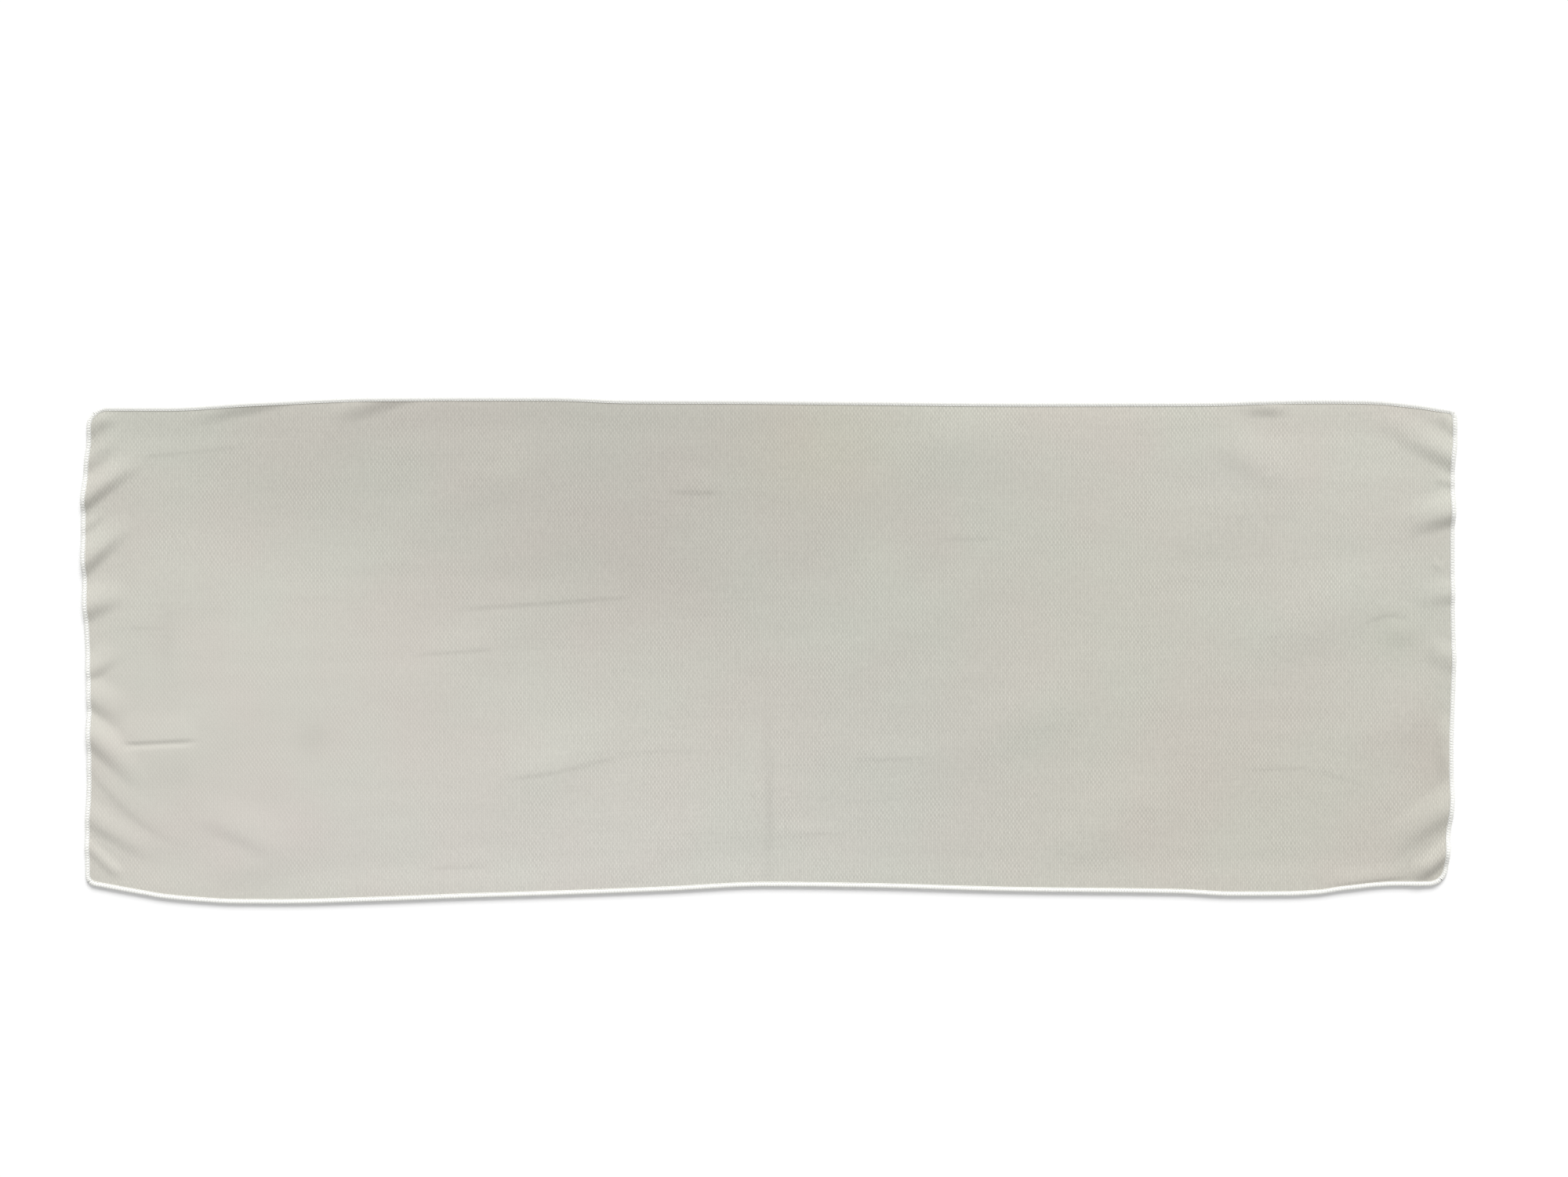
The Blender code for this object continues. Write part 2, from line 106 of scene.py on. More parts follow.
# %% Tables of the four sides
# place along the side as a share of the length or width, and distance inside the box as a share of the
# width; front and back run from the left, and left and right run from the front
FRONT_INSET = (
    (0.000, 0.0400), (0.027, 0.0262), (0.046, 0.0170), (0.059, 0.0108), (0.083, 0.0046),
    (0.112, 0.0003), (0.146, 0.0000), (0.214, 0.0046), (0.283, 0.0116), (0.348, 0.0170),
    (0.424, 0.0247), (0.499, 0.0340), (0.572, 0.0316), (0.679, 0.0239), (0.796, 0.0201),
    (0.837, 0.0150), (0.876, 0.0154), (0.899, 0.0185), (0.918, 0.0262), (0.956, 0.0350),
    (1.000, 0.0350),
)
BACK_INSET = (
    (0.000, 0.0200), (0.062, 0.0200), (0.126, 0.0108), (0.197, 0.0023), (0.283, 0.0000),
    (0.340, 0.0000), (0.397, 0.0052), (0.482, 0.0062), (0.568, 0.0085), (0.682, 0.0112),
    (0.807, 0.0108), (0.899, 0.0054), (0.933, 0.0062), (0.967, 0.0139), (1.000, 0.0275),
)
LEFT_INSET = (
    (0.000, 0.0090), (0.128, 0.0077), (0.221, 0.0108), (0.390, 0.0120), (0.468, 0.0100),
    (0.545, 0.0062), (0.637, 0.0023), (0.776, 0.0000), (0.823, 0.0031), (0.869, 0.0062),
    (0.915, 0.0108), (1.000, 0.0130),
)
RIGHT_INSET = (
    (0.000, 0.0210), (0.082, 0.0170), (0.128, 0.0139), (0.174, 0.0093), (0.221, 0.0062),
    (0.313, 0.0070), (0.390, 0.0046), (0.468, 0.0023), (0.622, 0.0046), (0.869, 0.0046),
    (0.915, 0.0000), (1.000, 0.0010),
)


def eased(share):
    """0 to 1 with level ends: 3 q^2 - 2 q^3, where q is the share kept between 0 and 1."""
    share = np.clip(share, 0.0, 1.0)
    return share * share * (3.0 - 2.0 * share)


def smooth_through(table, at):
    """A cubic from row to row of a table: level at each highest or lowest row.

    At any other row its slope is the harmonic mean of the slopes on the two sides.
    """
    places, values = np.array(table).T
    steep = np.diff(values) / np.diff(places)
    before, after = steep[:-1], steep[1:]
    same_way = before * after > 0.0
    mean = 2.0 * before * after / np.where(same_way, before + after, 1.0)
    slopes = np.concatenate((steep[:1], np.where(same_way, mean, 0.0), steep[-1:]))
    at = np.clip(at, places[0], places[-1])
    row = np.clip(np.searchsorted(places, at) - 1, 0, len(places) - 2)
    span = places[row + 1] - places[row]
    t = (at - places[row]) / span
    rise = eased(t)
    leaving = (t**3 - 2 * t**2 + t) * span * slopes[row]
    arriving = (t**3 - t**2) * span * slopes[row + 1]
    return values[row] * (1 - rise) + values[row + 1] * rise + leaving + arriving


def front_y(x):
    """The front line: the table's inset behind the front of the box."""
    return TOWEL_WIDTH * (smooth_through(FRONT_INSET, x / TOWEL_LENGTH + 0.5) - 0.5)


def back_y(x):
    """The back line: the inset in front of the back of the box."""
    return TOWEL_WIDTH * (0.5 - smooth_through(BACK_INSET, x / TOWEL_LENGTH + 0.5))


def left_x(y):
    """The left line: the inset to the right of the left end of the box."""
    return TOWEL_WIDTH * smooth_through(LEFT_INSET, y / TOWEL_WIDTH + 0.5) - TOWEL_LENGTH / 2


def right_x(y):
    """The right line: the inset to the left of the right end of the box."""
    return TOWEL_LENGTH / 2 - TOWEL_WIDTH * smooth_through(RIGHT_INSET, y / TOWEL_WIDTH + 0.5)


waist = back_y(0.0) - front_y(0.0)
print(f"the towel is {waist * 1000:.1f} mm across at its middle")

# %% [markdown]
# ## How deep a point lies inside the outline
#
# The cloth rises where it runs into the hem, so its height depends on how far a point is from the edge.
# A nearest point search would give that distance. A rounded rectangle has a formula for it, and a
# formula works on every point of a grid at once, so the outline is treated as one with bent sides.

# %% Distances from the edge
Inside = namedtuple("Inside", "from_end from_side inward_x inward_y radius")


def inside_of(x, y):
    """Distances from the nearer end and long side, the ways inward, and that corner's radius."""
    from_left, from_right = x - left_x(y), right_x(y) - x
    from_front, from_back = y - front_y(x), back_y(x) - y
    on_left, at_front = from_left < from_right, from_front < from_back
    front_radius = np.where(on_left, FRONT_LEFT_RADIUS, FRONT_RIGHT_RADIUS)
    back_radius = np.where(on_left, BACK_LEFT_RADIUS, BACK_RIGHT_RADIUS)
    return Inside(
        np.minimum(from_left, from_right),
        np.minimum(from_front, from_back),
        np.where(on_left, 1.0, -1.0),
        np.where(at_front, 1.0, -1.0),
        np.where(at_front, front_radius, back_radius),
    )


def short_of(place, radius):
    """How far a point falls short of a corner's arc centre, along each way and straight.

    The depth inside a rounded corner is its radius less the straight distance. Beside one of the two
    sides the other part is nothing, and the depth is the distance from that side.
    """
    end = np.maximum(radius - place.from_end, 0.0)
    side = np.maximum(radius - place.from_side, 0.0)
    return end, side, np.hypot(end, side)


middle_depth = inside_of(np.array(0.0), np.array(0.0)).from_side
print(f"the middle is {middle_depth * 1000:.1f} mm from the nearest side")

# %% [markdown]
# ## Puckers, folds and creases
#
# A tight sewing thread draws the hem in, so the ends of the towel pucker at it, and folding for
# storage leaves long low creases. A cloth simulation makes such folds, but not at chosen places. Each
# one here is a row of a table: a crest line, a height and the widths of its two flanks. The first
# table is the CAD model's, and the second adds the fine creases that are too low for a solid.

# %% Tables of folds
# x and y are shares of the length from the left and of the width from the front; bow is how far the
# line bends to its upper side, as a share of its own length; height is a share of FOLD_HEIGHT; shade
# and lit are the front and back flanks, as shares of FOLD_WIDTH; fade is the share of its length over
# which it rises from nothing at that end
Fold = namedtuple("Fold", "left_x left_y right_x right_y bow height shade lit fade_left fade_right")
FOLDS = (
    # the left end, from the back corner to the front corner
    Fold(0.004, 0.935, 0.027, 0.974, 0.00, 0.50, 0.80, 0.80, 0.0, 0.6),
    Fold(0.005, 0.871, 0.033, 0.937, 0.00, 0.28, 0.70, 0.60, 0.0, 1.0),
    Fold(0.004, 0.798, 0.051, 0.888, 0.02, 1.00, 0.78, 1.20, 0.0, 1.0),
    Fold(0.006, 0.746, 0.025, 0.787, 0.00, 0.20, 0.55, 0.50, 0.0, 1.0),
    Fold(0.004, 0.674, 0.039, 0.763, 0.00, 1.00, 0.82, 1.50, 0.0, 1.0),
    Fold(0.005, 0.584, 0.037, 0.616, 0.03, 0.80, 1.00, 1.60, 0.0, 1.0),
    Fold(0.005, 0.455, 0.031, 0.504, 0.00, 0.58, 0.75, 1.20, 0.0, 1.0),
    Fold(0.006, 0.409, 0.036, 0.358, 0.00, 0.72, 0.95, 1.50, 0.0, 1.0),
    Fold(0.006, 0.335, 0.050, 0.212, 0.03, 1.00, 1.05, 1.40, 0.0, 1.0),
    Fold(0.007, 0.276, 0.093, 0.105, -0.09, 0.21, 0.55, 1.80, 0.0, 0.8),
    Fold(0.005, 0.175, 0.062, 0.086, -0.03, 0.40, 0.75, 1.20, 0.0, 0.8),
    Fold(0.005, 0.115, 0.032, 0.047, 0.00, 0.32, 0.50, 0.55, 0.0, 0.4),
    Fold(0.078, 0.178, 0.152, 0.089, 0.04, 0.30, 1.00, 2.20, 0.5, 0.5),
    # the two sides of the short sharp crease near the left end
    Fold(0.024, 0.318, 0.086, 0.326, 0.00, 0.22, 0.20, 2.00, 0.2, 0.2),
    Fold(0.024, 0.299, 0.086, 0.308, 0.00, 0.18, 2.40, 0.35, 0.2, 0.2),
    # the back edge, from left to right
    Fold(0.074, 0.949, 0.124, 0.987, 0.03, 0.52, 0.85, 0.90, 0.9, 0.0),
    Fold(0.178, 0.958, 0.214, 0.992, 0.00, 0.60, 1.00, 0.80, 0.9, 0.0),
    Fold(0.838, 0.982, 0.883, 0.978, 0.00, 0.48, 0.80, 0.50, 0.5, 0.5),
    Fold(0.820, 0.922, 0.882, 0.818, 0.00, 0.34, 1.30, 2.40, 0.5, 0.5),
    # the right end, from the back corner to the front corner
    Fold(0.983, 0.975, 0.997, 0.942, 0.00, 0.25, 0.75, 0.50, 0.6, 0.0),
    Fold(0.934, 0.978, 0.997, 0.878, -0.02, 0.60, 1.00, 1.35, 1.0, 0.0),
    Fold(0.982, 0.844, 0.997, 0.827, 0.00, 0.16, 0.50, 0.50, 0.6, 0.0),
    Fold(0.957, 0.739, 0.997, 0.772, 0.00, 1.00, 1.00, 1.60, 1.0, 0.0),
    Fold(0.965, 0.599, 0.997, 0.612, 0.00, 0.42, 0.85, 1.20, 1.0, 0.0),
    Fold(0.941, 0.529, 0.980, 0.545, 0.00, 0.19, 1.10, 1.20, 0.5, 0.5),
    Fold(0.971, 0.516, 0.997, 0.484, 0.00, 0.38, 1.15, 1.00, 1.0, 0.0),
    Fold(0.991, 0.383, 0.991, 0.236, 0.00, 0.45, 0.80, 0.35, 0.4, 0.4),
    Fold(0.942, 0.085, 0.995, 0.189, 0.03, 0.88, 1.10, 1.60, 1.0, 0.0),
    Fold(0.964, 0.041, 0.995, 0.111, 0.00, 0.95, 0.70, 0.85, 0.5, 0.0),
    # the front edge, near the right end
    Fold(0.904, 0.038, 0.970, 0.060, 0.00, 0.24, 0.30, 1.00, 0.3, 0.3),
    # long low creases in the middle, from storage
    Fold(0.036, 0.880, 0.120, 0.904, 0.00, 0.06, 0.20, 1.60, 0.15, 0.15),
    Fold(0.272, 0.582, 0.406, 0.608, 0.00, 0.10, 0.20, 1.60, 0.15, 0.15),
    Fold(0.306, 0.248, 0.392, 0.297, -0.03, 0.10, 0.22, 1.60, 0.2, 0.15),
    Fold(0.845, 0.265, 0.895, 0.269, 0.02, 0.07, 0.20, 1.60, 0.2, 0.2),
)
FINE_CREASES = (
    Fold(0.034, 0.546, 0.060, 0.546, 0.00, 0.04, 0.20, 1.20, 0.2, 0.2),
    Fold(0.240, 0.492, 0.306, 0.506, 0.00, 0.09, 0.20, 1.60, 0.2, 0.2),
    Fold(0.244, 0.071, 0.302, 0.080, 0.00, 0.05, 0.20, 1.20, 0.2, 0.2),
    Fold(0.392, 0.297, 0.460, 0.303, 0.02, 0.04, 0.20, 1.20, 0.1, 0.3),
    Fold(0.428, 0.818, 0.468, 0.814, 0.00, 0.15, 0.40, 1.60, 0.3, 0.3),
    Fold(0.508, 0.139, 0.552, 0.142, 0.00, 0.05, 0.20, 1.20, 0.2, 0.2),
    Fold(0.560, 0.287, 0.616, 0.290, 0.00, 0.06, 0.20, 1.20, 0.2, 0.2),
    Fold(0.620, 0.721, 0.668, 0.721, 0.00, 0.06, 0.20, 1.20, 0.2, 0.2),
    Fold(0.893, 0.269, 0.946, 0.222, 0.02, 0.06, 0.25, 1.20, 0.2, 0.6),
    Fold(0.925, 0.540, 0.979, 0.531, 0.25, 0.10, 0.30, 1.20, 0.3, 0.3),
    Fold(0.980, 0.676, 0.990, 0.655, 0.00, 0.10, 0.30, 0.40, 0.4, 0.4),
    # the two sides of the storage crease across the middle
    Fold(0.493, 0.046, 0.493, 0.420, 0.00, 0.16, 0.40, 1.80, 0.3, 0.6),
    Fold(0.503, 0.046, 0.503, 0.420, 0.00, 0.16, 1.80, 0.40, 0.3, 0.6),
)


def fold_lift(x, y):
    """How far the folds lift the cloth: each has a rounded crest, and where they run together they blend.

    Across a fold the height is cos^2 of a quarter turn at the flank's foot, and along it the height is
    eased in from each end that fades. Folds blend as the root of the sum of their squares.
    """
    squares = np.zeros_like(x)
    for fold in FOLDS + FINE_CREASES:
        start_x, start_y = (fold.left_x - 0.5) * TOWEL_LENGTH, (fold.left_y - 0.5) * TOWEL_WIDTH
        run_x = (fold.right_x - fold.left_x) * TOWEL_LENGTH
        run_y = (fold.right_y - fold.left_y) * TOWEL_WIDTH
        length = math.hypot(run_x, run_y)
        share = ((x - start_x) * run_x + (y - start_y) * run_y) / length**2
        held = np.clip(share, 0.0, 1.0)
        across = ((y - start_y) * run_x - (x - start_x) * run_y) / length
        across = across - fold.bow * length * 4.0 * held * (1.0 - held)
        flank = np.where(across > 0.0, fold.lit, fold.shade) * FOLD_WIDTH
        down = np.minimum(np.abs(across) / flank, 1.0)
        height = fold.height * FOLD_HEIGHT * np.cos(down * math.pi / 2) ** 2
        if fold.fade_left > 0.0:
            height = height * eased(share / fold.fade_left)
        if fold.fade_right > 0.0:
            height = height * eased((1.0 - share) / fold.fade_right)
        squares += height**2
    return np.sqrt(squares)


print(f"{len(FOLDS)} folds and {len(FINE_CREASES)} fine creases")

# %% [markdown]
# ## The height of the cloth
#
# Cloth that lies on a floor touches it nearly everywhere. It is held up only at the hem, which is
# thicker than the cloth, and in its folds. Between them a thin knit never lies quite level, so broad
# swells up to about a millimetre high are added. One function gives the height of the middle of the
# cloth at any point, and every piece uses it. Long shallow wrinkles along the towel are the last part
# of it: they are too slight to place one by one, so they come from smoothed random numbers.

# %% One height for every piece
SWELL_HEIGHT = 0.0008
# added to the mean of the swells, so that more than half of the cloth is a little off the floor
SWELL_SHIFT = 0.25
# each swell as its wave lengths along X and Y in metres, and how far it is shifted
SWELLS = ((0.31, 0.19, 0.4), (0.17, 0.43, 1.9), (0.12, -0.11, 4.1), (-0.23, 0.085, 2.6))


def swell(x, y):
    """Low broad waves: the mean of slanting sine waves plus SWELL_SHIFT, where it is above 0, squared."""
    waves = [np.sin(2 * math.pi * (x / long + y / wide) + shift) for long, wide, shift in SWELLS]
    return SWELL_HEIGHT * np.maximum(sum(waves) / len(SWELLS) + SWELL_SHIFT, 0.0) ** 2


# each layer of wrinkles as the spacing of its random numbers along X and Y in metres, and its height
WRINKLES = ((0.060, 0.0085, 0.00010), (0.019, 0.0120, 0.00007), (0.110, 0.0300, 0.00030))


def wrinkle(x, y):
    """Layers of random numbers between 0 and 1 on a lattice, with eased steps from each to the next."""
    lift = np.zeros_like(x)
    for seed, (cell_x, cell_y, height) in enumerate(WRINKLES):
        across, up = x / cell_x + TOWEL_LENGTH / cell_x, y / cell_y + TOWEL_WIDTH / cell_y
        column, row = np.floor(across).astype(int), np.floor(up).astype(int)
        size = (math.ceil(2 * TOWEL_LENGTH / cell_x) + 2, math.ceil(2 * TOWEL_WIDTH / cell_y) + 2)
        lattice = np.random.default_rng(seed).uniform(0.0, 1.0, size)
        right, above = eased(across - column), eased(up - row)
        near = lattice[column, row] * (1 - right) + lattice[column + 1, row] * right
        far = lattice[column, row + 1] * (1 - right) + lattice[column + 1, row + 1] * right
        lift += height * (near * (1 - above) + far * above)
    return lift


def cloth_height(x, y):
    """The height of the middle of the cloth.

    It is half its thickness, plus the lift at the hem's lip eased down to nothing, plus the folds, the
    swells and the wrinkles. A point in the hem takes the folds of the nearest point on the lip.
    """
    place = inside_of(x, y)
    end, side, straight = short_of(place, place.radius)
    under_hem = np.maximum(HEM_WIDTH - (place.radius - straight), 0.0) / np.maximum(straight, 1e-9)
    lip_x = x + under_hem * end * place.inward_x
    lip_y = y + under_hem * side * place.inward_y
    wide = HEM_WIDTH + EDGE_RAMP
    past_lip = EDGE_RAMP - short_of(place, wide)[2]
    down = eased(past_lip / EDGE_RAMP)
    loose = down * (swell(x, y) + wrinkle(x, y))
    return HALF_CLOTH + EDGE_LIFT * (1.0 - down) + fold_lift(lip_x, lip_y) + loose


def cloth_slopes(x, y):
    """The slopes of that height along X and Y, from heights a little to each side."""
    step = 0.00005
    along_x = cloth_height(x + step, y) - cloth_height(x - step, y)
    along_y = cloth_height(x, y + step) - cloth_height(x, y - step)
    return along_x / (2 * step), along_y / (2 * step)


print(f"height at the middle {float(cloth_height(np.array(0.0), np.array(0.0))) * 1000:.2f} mm")

# %% [markdown]
# ## The cloth
#
# The panel is one sheet of knit with two faces and a cut edge. It could be a plane with a Solidify
# modifier. It is a grid for each face instead, worked out as whole arrays, because both faces then
# follow the height exactly and the mesh stays closed. Its columns crowd together at the two ends, where
# the puckers are, and at the crease across the middle. The underside needs half the columns.

# %% The grid of the cloth
TOP_COLUMNS = 264
ROWS = 246
# where columns crowd, and how far to each side, as shares of the length, and how many more there are
COLUMN_CROWDS = ((0.0, 0.09, 1.6), (1.0, 0.09, 1.6), (0.498, 0.010, 2.0))
# small steps for each column, in which the crowding is summed
STEPS_PER_COLUMN = 20
# rounds in which X and Y settle, because the sides are bent
GRID_ROUNDS = 6


def crowded_shares(count):
    """Shares of the length whose density is 1, plus each row's extra density falling off as exp(-d^2)."""
    fine = np.linspace(0.0, 1.0, STEPS_PER_COLUMN * count)
    density = np.ones_like(fine)
    for middle, reach, extra in COLUMN_CROWDS:
        density += extra * np.exp(-(((fine - middle) / reach) ** 2))
    gone = np.concatenate(([0.0], np.cumsum(density[1:] + density[:-1])))
    return np.interp(np.linspace(0.0, gone[-1], count + 1), gone, fine)


def raw_edge_grid(columns, rows):
    """X and Y of a grid that fills the cloth up to its raw edge, with round corners.

    A point is at a share of the way between the two ends and of the way between the two sides. In a
    corner of radius r, with p and q its distances back from the arc's centre, it moves to
    p sqrt(1 - q^2 / 2 r^2) and q sqrt(1 - p^2 / 2 r^2), which turns the square into a quarter disc.
    """
    across, up = np.meshgrid(crowded_shares(columns), np.linspace(0.0, 1.0, rows + 1), indexing="ij")
    x, y = np.zeros_like(across), np.zeros_like(across)
    for _ in range(GRID_ROUNDS):
        x = (left_x(y) + HEM_NOSE) * (1 - across) + (right_x(y) - HEM_NOSE) * across
        y = (front_y(x) + HEM_NOSE) * (1 - up) + (back_y(x) - HEM_NOSE) * up
    place = inside_of(x, y)
    raw_radius = place.radius - HEM_NOSE
    end, side, _ = short_of(place, place.radius)
    twice = 2 * raw_radius**2
    moved_x = end * (1 - np.sqrt(1 - np.minimum(side**2 / twice, 0.5)))
    moved_y = side * (1 - np.sqrt(1 - np.minimum(end**2 / twice, 0.5)))
    return x + moved_x * place.inward_x, y + moved_y * place.inward_y


def grid_faces(numbers):
    """The quads of a grid of vertex numbers, anticlockwise where they rise along both of its ways."""
    corners = (numbers[:-1, :-1], numbers[1:, :-1], numbers[1:, 1:], numbers[:-1, 1:])
    return np.stack(corners, axis=-1).reshape(-1, 4)


grid_x, grid_y = raw_edge_grid(TOP_COLUMNS, ROWS)
print(f"columns {np.diff(grid_x[:, ROWS // 2]).min() * 1000:.2f} to "
      f"{np.diff(grid_x[:, ROWS // 2]).max() * 1000:.2f} mm apart")

# %% Two faces and a cut edge
grid_height = cloth_height(grid_x, grid_y)
slope_x, slope_y = cloth_slopes(grid_x, grid_y)
half_upright = HALF_CLOTH * np.sqrt(1.0 + slope_x**2 + slope_y**2)
upper = np.stack((grid_x, grid_y, grid_height + half_upright), axis=-1)
lower = np.stack((grid_x, grid_y, grid_height - half_upright), axis=-1)[::2]
top_numbers = np.arange(grid_x.size).reshape(grid_x.shape)
under_numbers = grid_x.size + np.arange(lower[..., 0].size).reshape(lower.shape[:2])


def long_rim(top, under):
    """Three triangles for each cell of a long side, which has two lengths of edge above and one below."""
    first, second, third = top[:-2:2], top[1:-1:2], top[2::2]
    near, far = under[:-1], under[1:]
    wide = np.stack((near, far, second), axis=-1)
    back = np.stack((near, second, first), axis=-1)
    on = np.stack((far, third, second), axis=-1)
    return np.concatenate((wide, back, on))


def end_rim(top, under):
    """A quad for each cell of an end, where both faces have the same rows."""
    return np.stack((under[1:], under[:-1], top[:-1], top[1:]), axis=-1)


def make_object(name, points, faces):
    """A smooth-shaded object at the origin from vertices and lists of faces."""
    mesh = bpy.data.meshes.new(name)
    mesh.from_pydata(points.tolist(), [], [face for group in faces for face in group.tolist()])
    mesh.shade_smooth()
    made = bpy.data.objects.new(name, mesh)
    bpy.context.scene.collection.objects.link(made)
    return made


cloth_faces = (
    grid_faces(top_numbers),
    grid_faces(under_numbers)[:, ::-1],
    end_rim(top_numbers[0], under_numbers[0]),
    end_rim(top_numbers[-1], under_numbers[-1])[:, ::-1],
    long_rim(top_numbers[:, 0], under_numbers[:, 0]),
    long_rim(top_numbers[:, -1], under_numbers[:, -1])[:, ::-1],
)
cloth_points = np.concatenate((upper.reshape(-1, 3), lower.reshape(-1, 3)))
cloth = make_object("towel_cloth", cloth_points, cloth_faces)
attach(cloth, "root")
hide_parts("towel_panel")
cloth.data.calc_loop_triangles()
print(f"cloth {len(cloth.data.loop_triangles)} triangles, {upper[..., 2].max() * 1000:.2f} mm high")

# %% [markdown]
# ## The hem's path
#
# The overlocked edge is sewn in one run along each side, and the runs meet at the corners. The path of
# its outer line could be picked off the cloth's mesh. It is worked out from the side tables instead,
# with a quarter ellipse at each corner, and then cut at the middles of the corners into four runs.

# %% The outer line in four runs
SIDE_POINTS = 400
ARC_POINTS = 24
CORNER_ROUNDS = 4


def corner_of(end_x, side_y):
    """Where an end and a long side would meet without rounding, by going from one to the other."""
    x = y = 0.0
    for _ in range(CORNER_ROUNDS):
        x = float(end_x(y))
        y = float(side_y(x))
    return np.array((x, y))


def corner_arc(corner, first, last):
    """A quarter ellipse from first to last: the corner, plus the ways to both as 1 - sin and 1 - cos."""
    turn = np.linspace(0.0, math.pi / 2, ARC_POINTS + 1)[:, None]
    return corner + (first - corner) * (1 - np.sin(turn)) + (last - corner) * (1 - np.cos(turn))


def side_places(first, first_radius, last, last_radius):
    """Even places along a side, from the end of its first corner's arc to the start of its last one's."""
    way = math.copysign(1.0, last - first)
    return np.linspace(first + way * first_radius, last - way * last_radius, SIDE_POINTS)


front_left, front_right = corner_of(left_x, front_y), corner_of(right_x, front_y)
back_left, back_right = corner_of(left_x, back_y), corner_of(right_x, back_y)
front_places = side_places(front_left[0], FRONT_LEFT_RADIUS, front_right[0], FRONT_RIGHT_RADIUS)
right_places = side_places(front_right[1], FRONT_RIGHT_RADIUS, back_right[1], BACK_RIGHT_RADIUS)
back_places = side_places(back_right[0], BACK_RIGHT_RADIUS, back_left[0], BACK_LEFT_RADIUS)
left_places = side_places(back_left[1], BACK_LEFT_RADIUS, front_left[1], FRONT_LEFT_RADIUS)
sides = {
    "front": np.column_stack((front_places, front_y(front_places))),
    "right": np.column_stack((right_x(right_places), right_places)),
    "back": np.column_stack((back_places, back_y(back_places))),
    "left": np.column_stack((left_x(left_places), left_places)),
}
arcs = {
    "front": corner_arc(front_left, sides["left"][-1], sides["front"][0]),
    "right": corner_arc(front_right, sides["front"][-1], sides["right"][0]),
    "back": corner_arc(back_right, sides["right"][-1], sides["back"][0]),
    "left": corner_arc(back_left, sides["back"][-1], sides["left"][0]),
}
half_arc = ARC_POINTS // 2
runs = {
    name: np.concatenate((arcs[name][half_arc:-1], sides[name], arcs[after][1 : half_arc + 1]))
    for name, after in (("front", "right"), ("right", "back"), ("back", "left"), ("left", "front"))
}
print(f"corner arcs of {ARC_POINTS} steps between sides of {SIDE_POINTS} points")

# %% [markdown]
# Every thread of the hem follows one of these runs, so each needs the same facts at many places along
# it: where it is, which way is out, and how high the hem lies there. A curve modifier would bend a
# finished thread along the run. Here a rail holds those facts as arrays, because the threads then rise
# with the puckers by the cloth's own height function.

# %% A rail along a run
def run_length(run):
    """The sum of the distances from each point of the run to the next."""
    return float(np.linalg.norm(np.diff(run, axis=0), axis=1).sum())


Rail = namedtuple("Rail", "place out height tall")


def rail_along(run, distances):
    """Places at the given distances along a run, with the way out and the height of the hem there.

    An upright section of a sloping hem is sqrt(1 + slope^2) times as tall as one square to it.
    """
    gone = np.concatenate(([0.0], np.cumsum(np.linalg.norm(np.diff(run, axis=0), axis=1))))
    place = np.stack([np.interp(distances, gone, run[:, axis]) for axis in (0, 1)], axis=-1)
    ahead_of_run = np.gradient(run, gone, axis=0)
    ahead = np.stack([np.interp(distances, gone, ahead_of_run[:, axis]) for axis in (0, 1)], axis=-1)
    ahead /= np.linalg.norm(ahead, axis=-1, keepdims=True)
    out = np.stack((ahead[..., 1], -ahead[..., 0]), axis=-1)
    slope_x, slope_y = cloth_slopes(place[..., 0], place[..., 1])
    slope = slope_x * ahead[..., 0] + slope_y * ahead[..., 1]
    height = cloth_height(place[..., 0], place[..., 1])
    return Rail(place, out, height, np.sqrt(1.0 + slope**2))


print({name: f"{run_length(run) * 1000:.0f} mm" for name, run in runs.items()})

# %% [markdown]
# ## The overlock stitch
#
# An overlocker trims the edge and wraps it with loops of thread. On each face a looper thread runs to
# and fro between the needle line and the edge, and a needle thread ties both down in short stitches
# along the inner side. The stitches could be a texture. Real tubes of thread are used instead, because
# they catch the light along a white edge that has no other detail, and each tube is one array.

# %% Tubes of thread
STITCH_LENGTH = 0.0017
THREAD_RADIUS = 0.00020
# how far the loops stand out of the bed of thread that they lie on
LOOP_STAND = 1.4 * THREAD_RADIUS
LOOP_POINTS = 14
NEEDLE_POINTS = 6
THREAD_SIDES = 5
BED_HALF = HALF_HEM - LOOP_STAND
BED_NOSE = HEM_NOSE - LOOP_STAND
# the hem's height at its lip as a share of its crown, and the share of its width where the crown starts
LIP_SHARE = 0.61
SHOULDER = 0.60


def bead(way):
    """The height of the hem as a share of its crown, at a share of the way from its lip to its nose.

    Near the lip it rises from LIP_SHARE to 1, and it rounds off to the nose as (1 - way^2)^(1/4).
    """
    rise = LIP_SHARE + (1.0 - LIP_SHARE) * eased(way / SHOULDER)
    return rise * (1.0 - way**2) ** 0.25


def on_hem(rail, out, up):
    """Points beside a rail, so far out from the cloth's raw edge and up from the hem's middle."""
    flat = rail.place + rail.out * (out - HEM_NOSE)[..., None]
    return np.concatenate((flat, (rail.height + up * rail.tall)[..., None]), axis=-1)


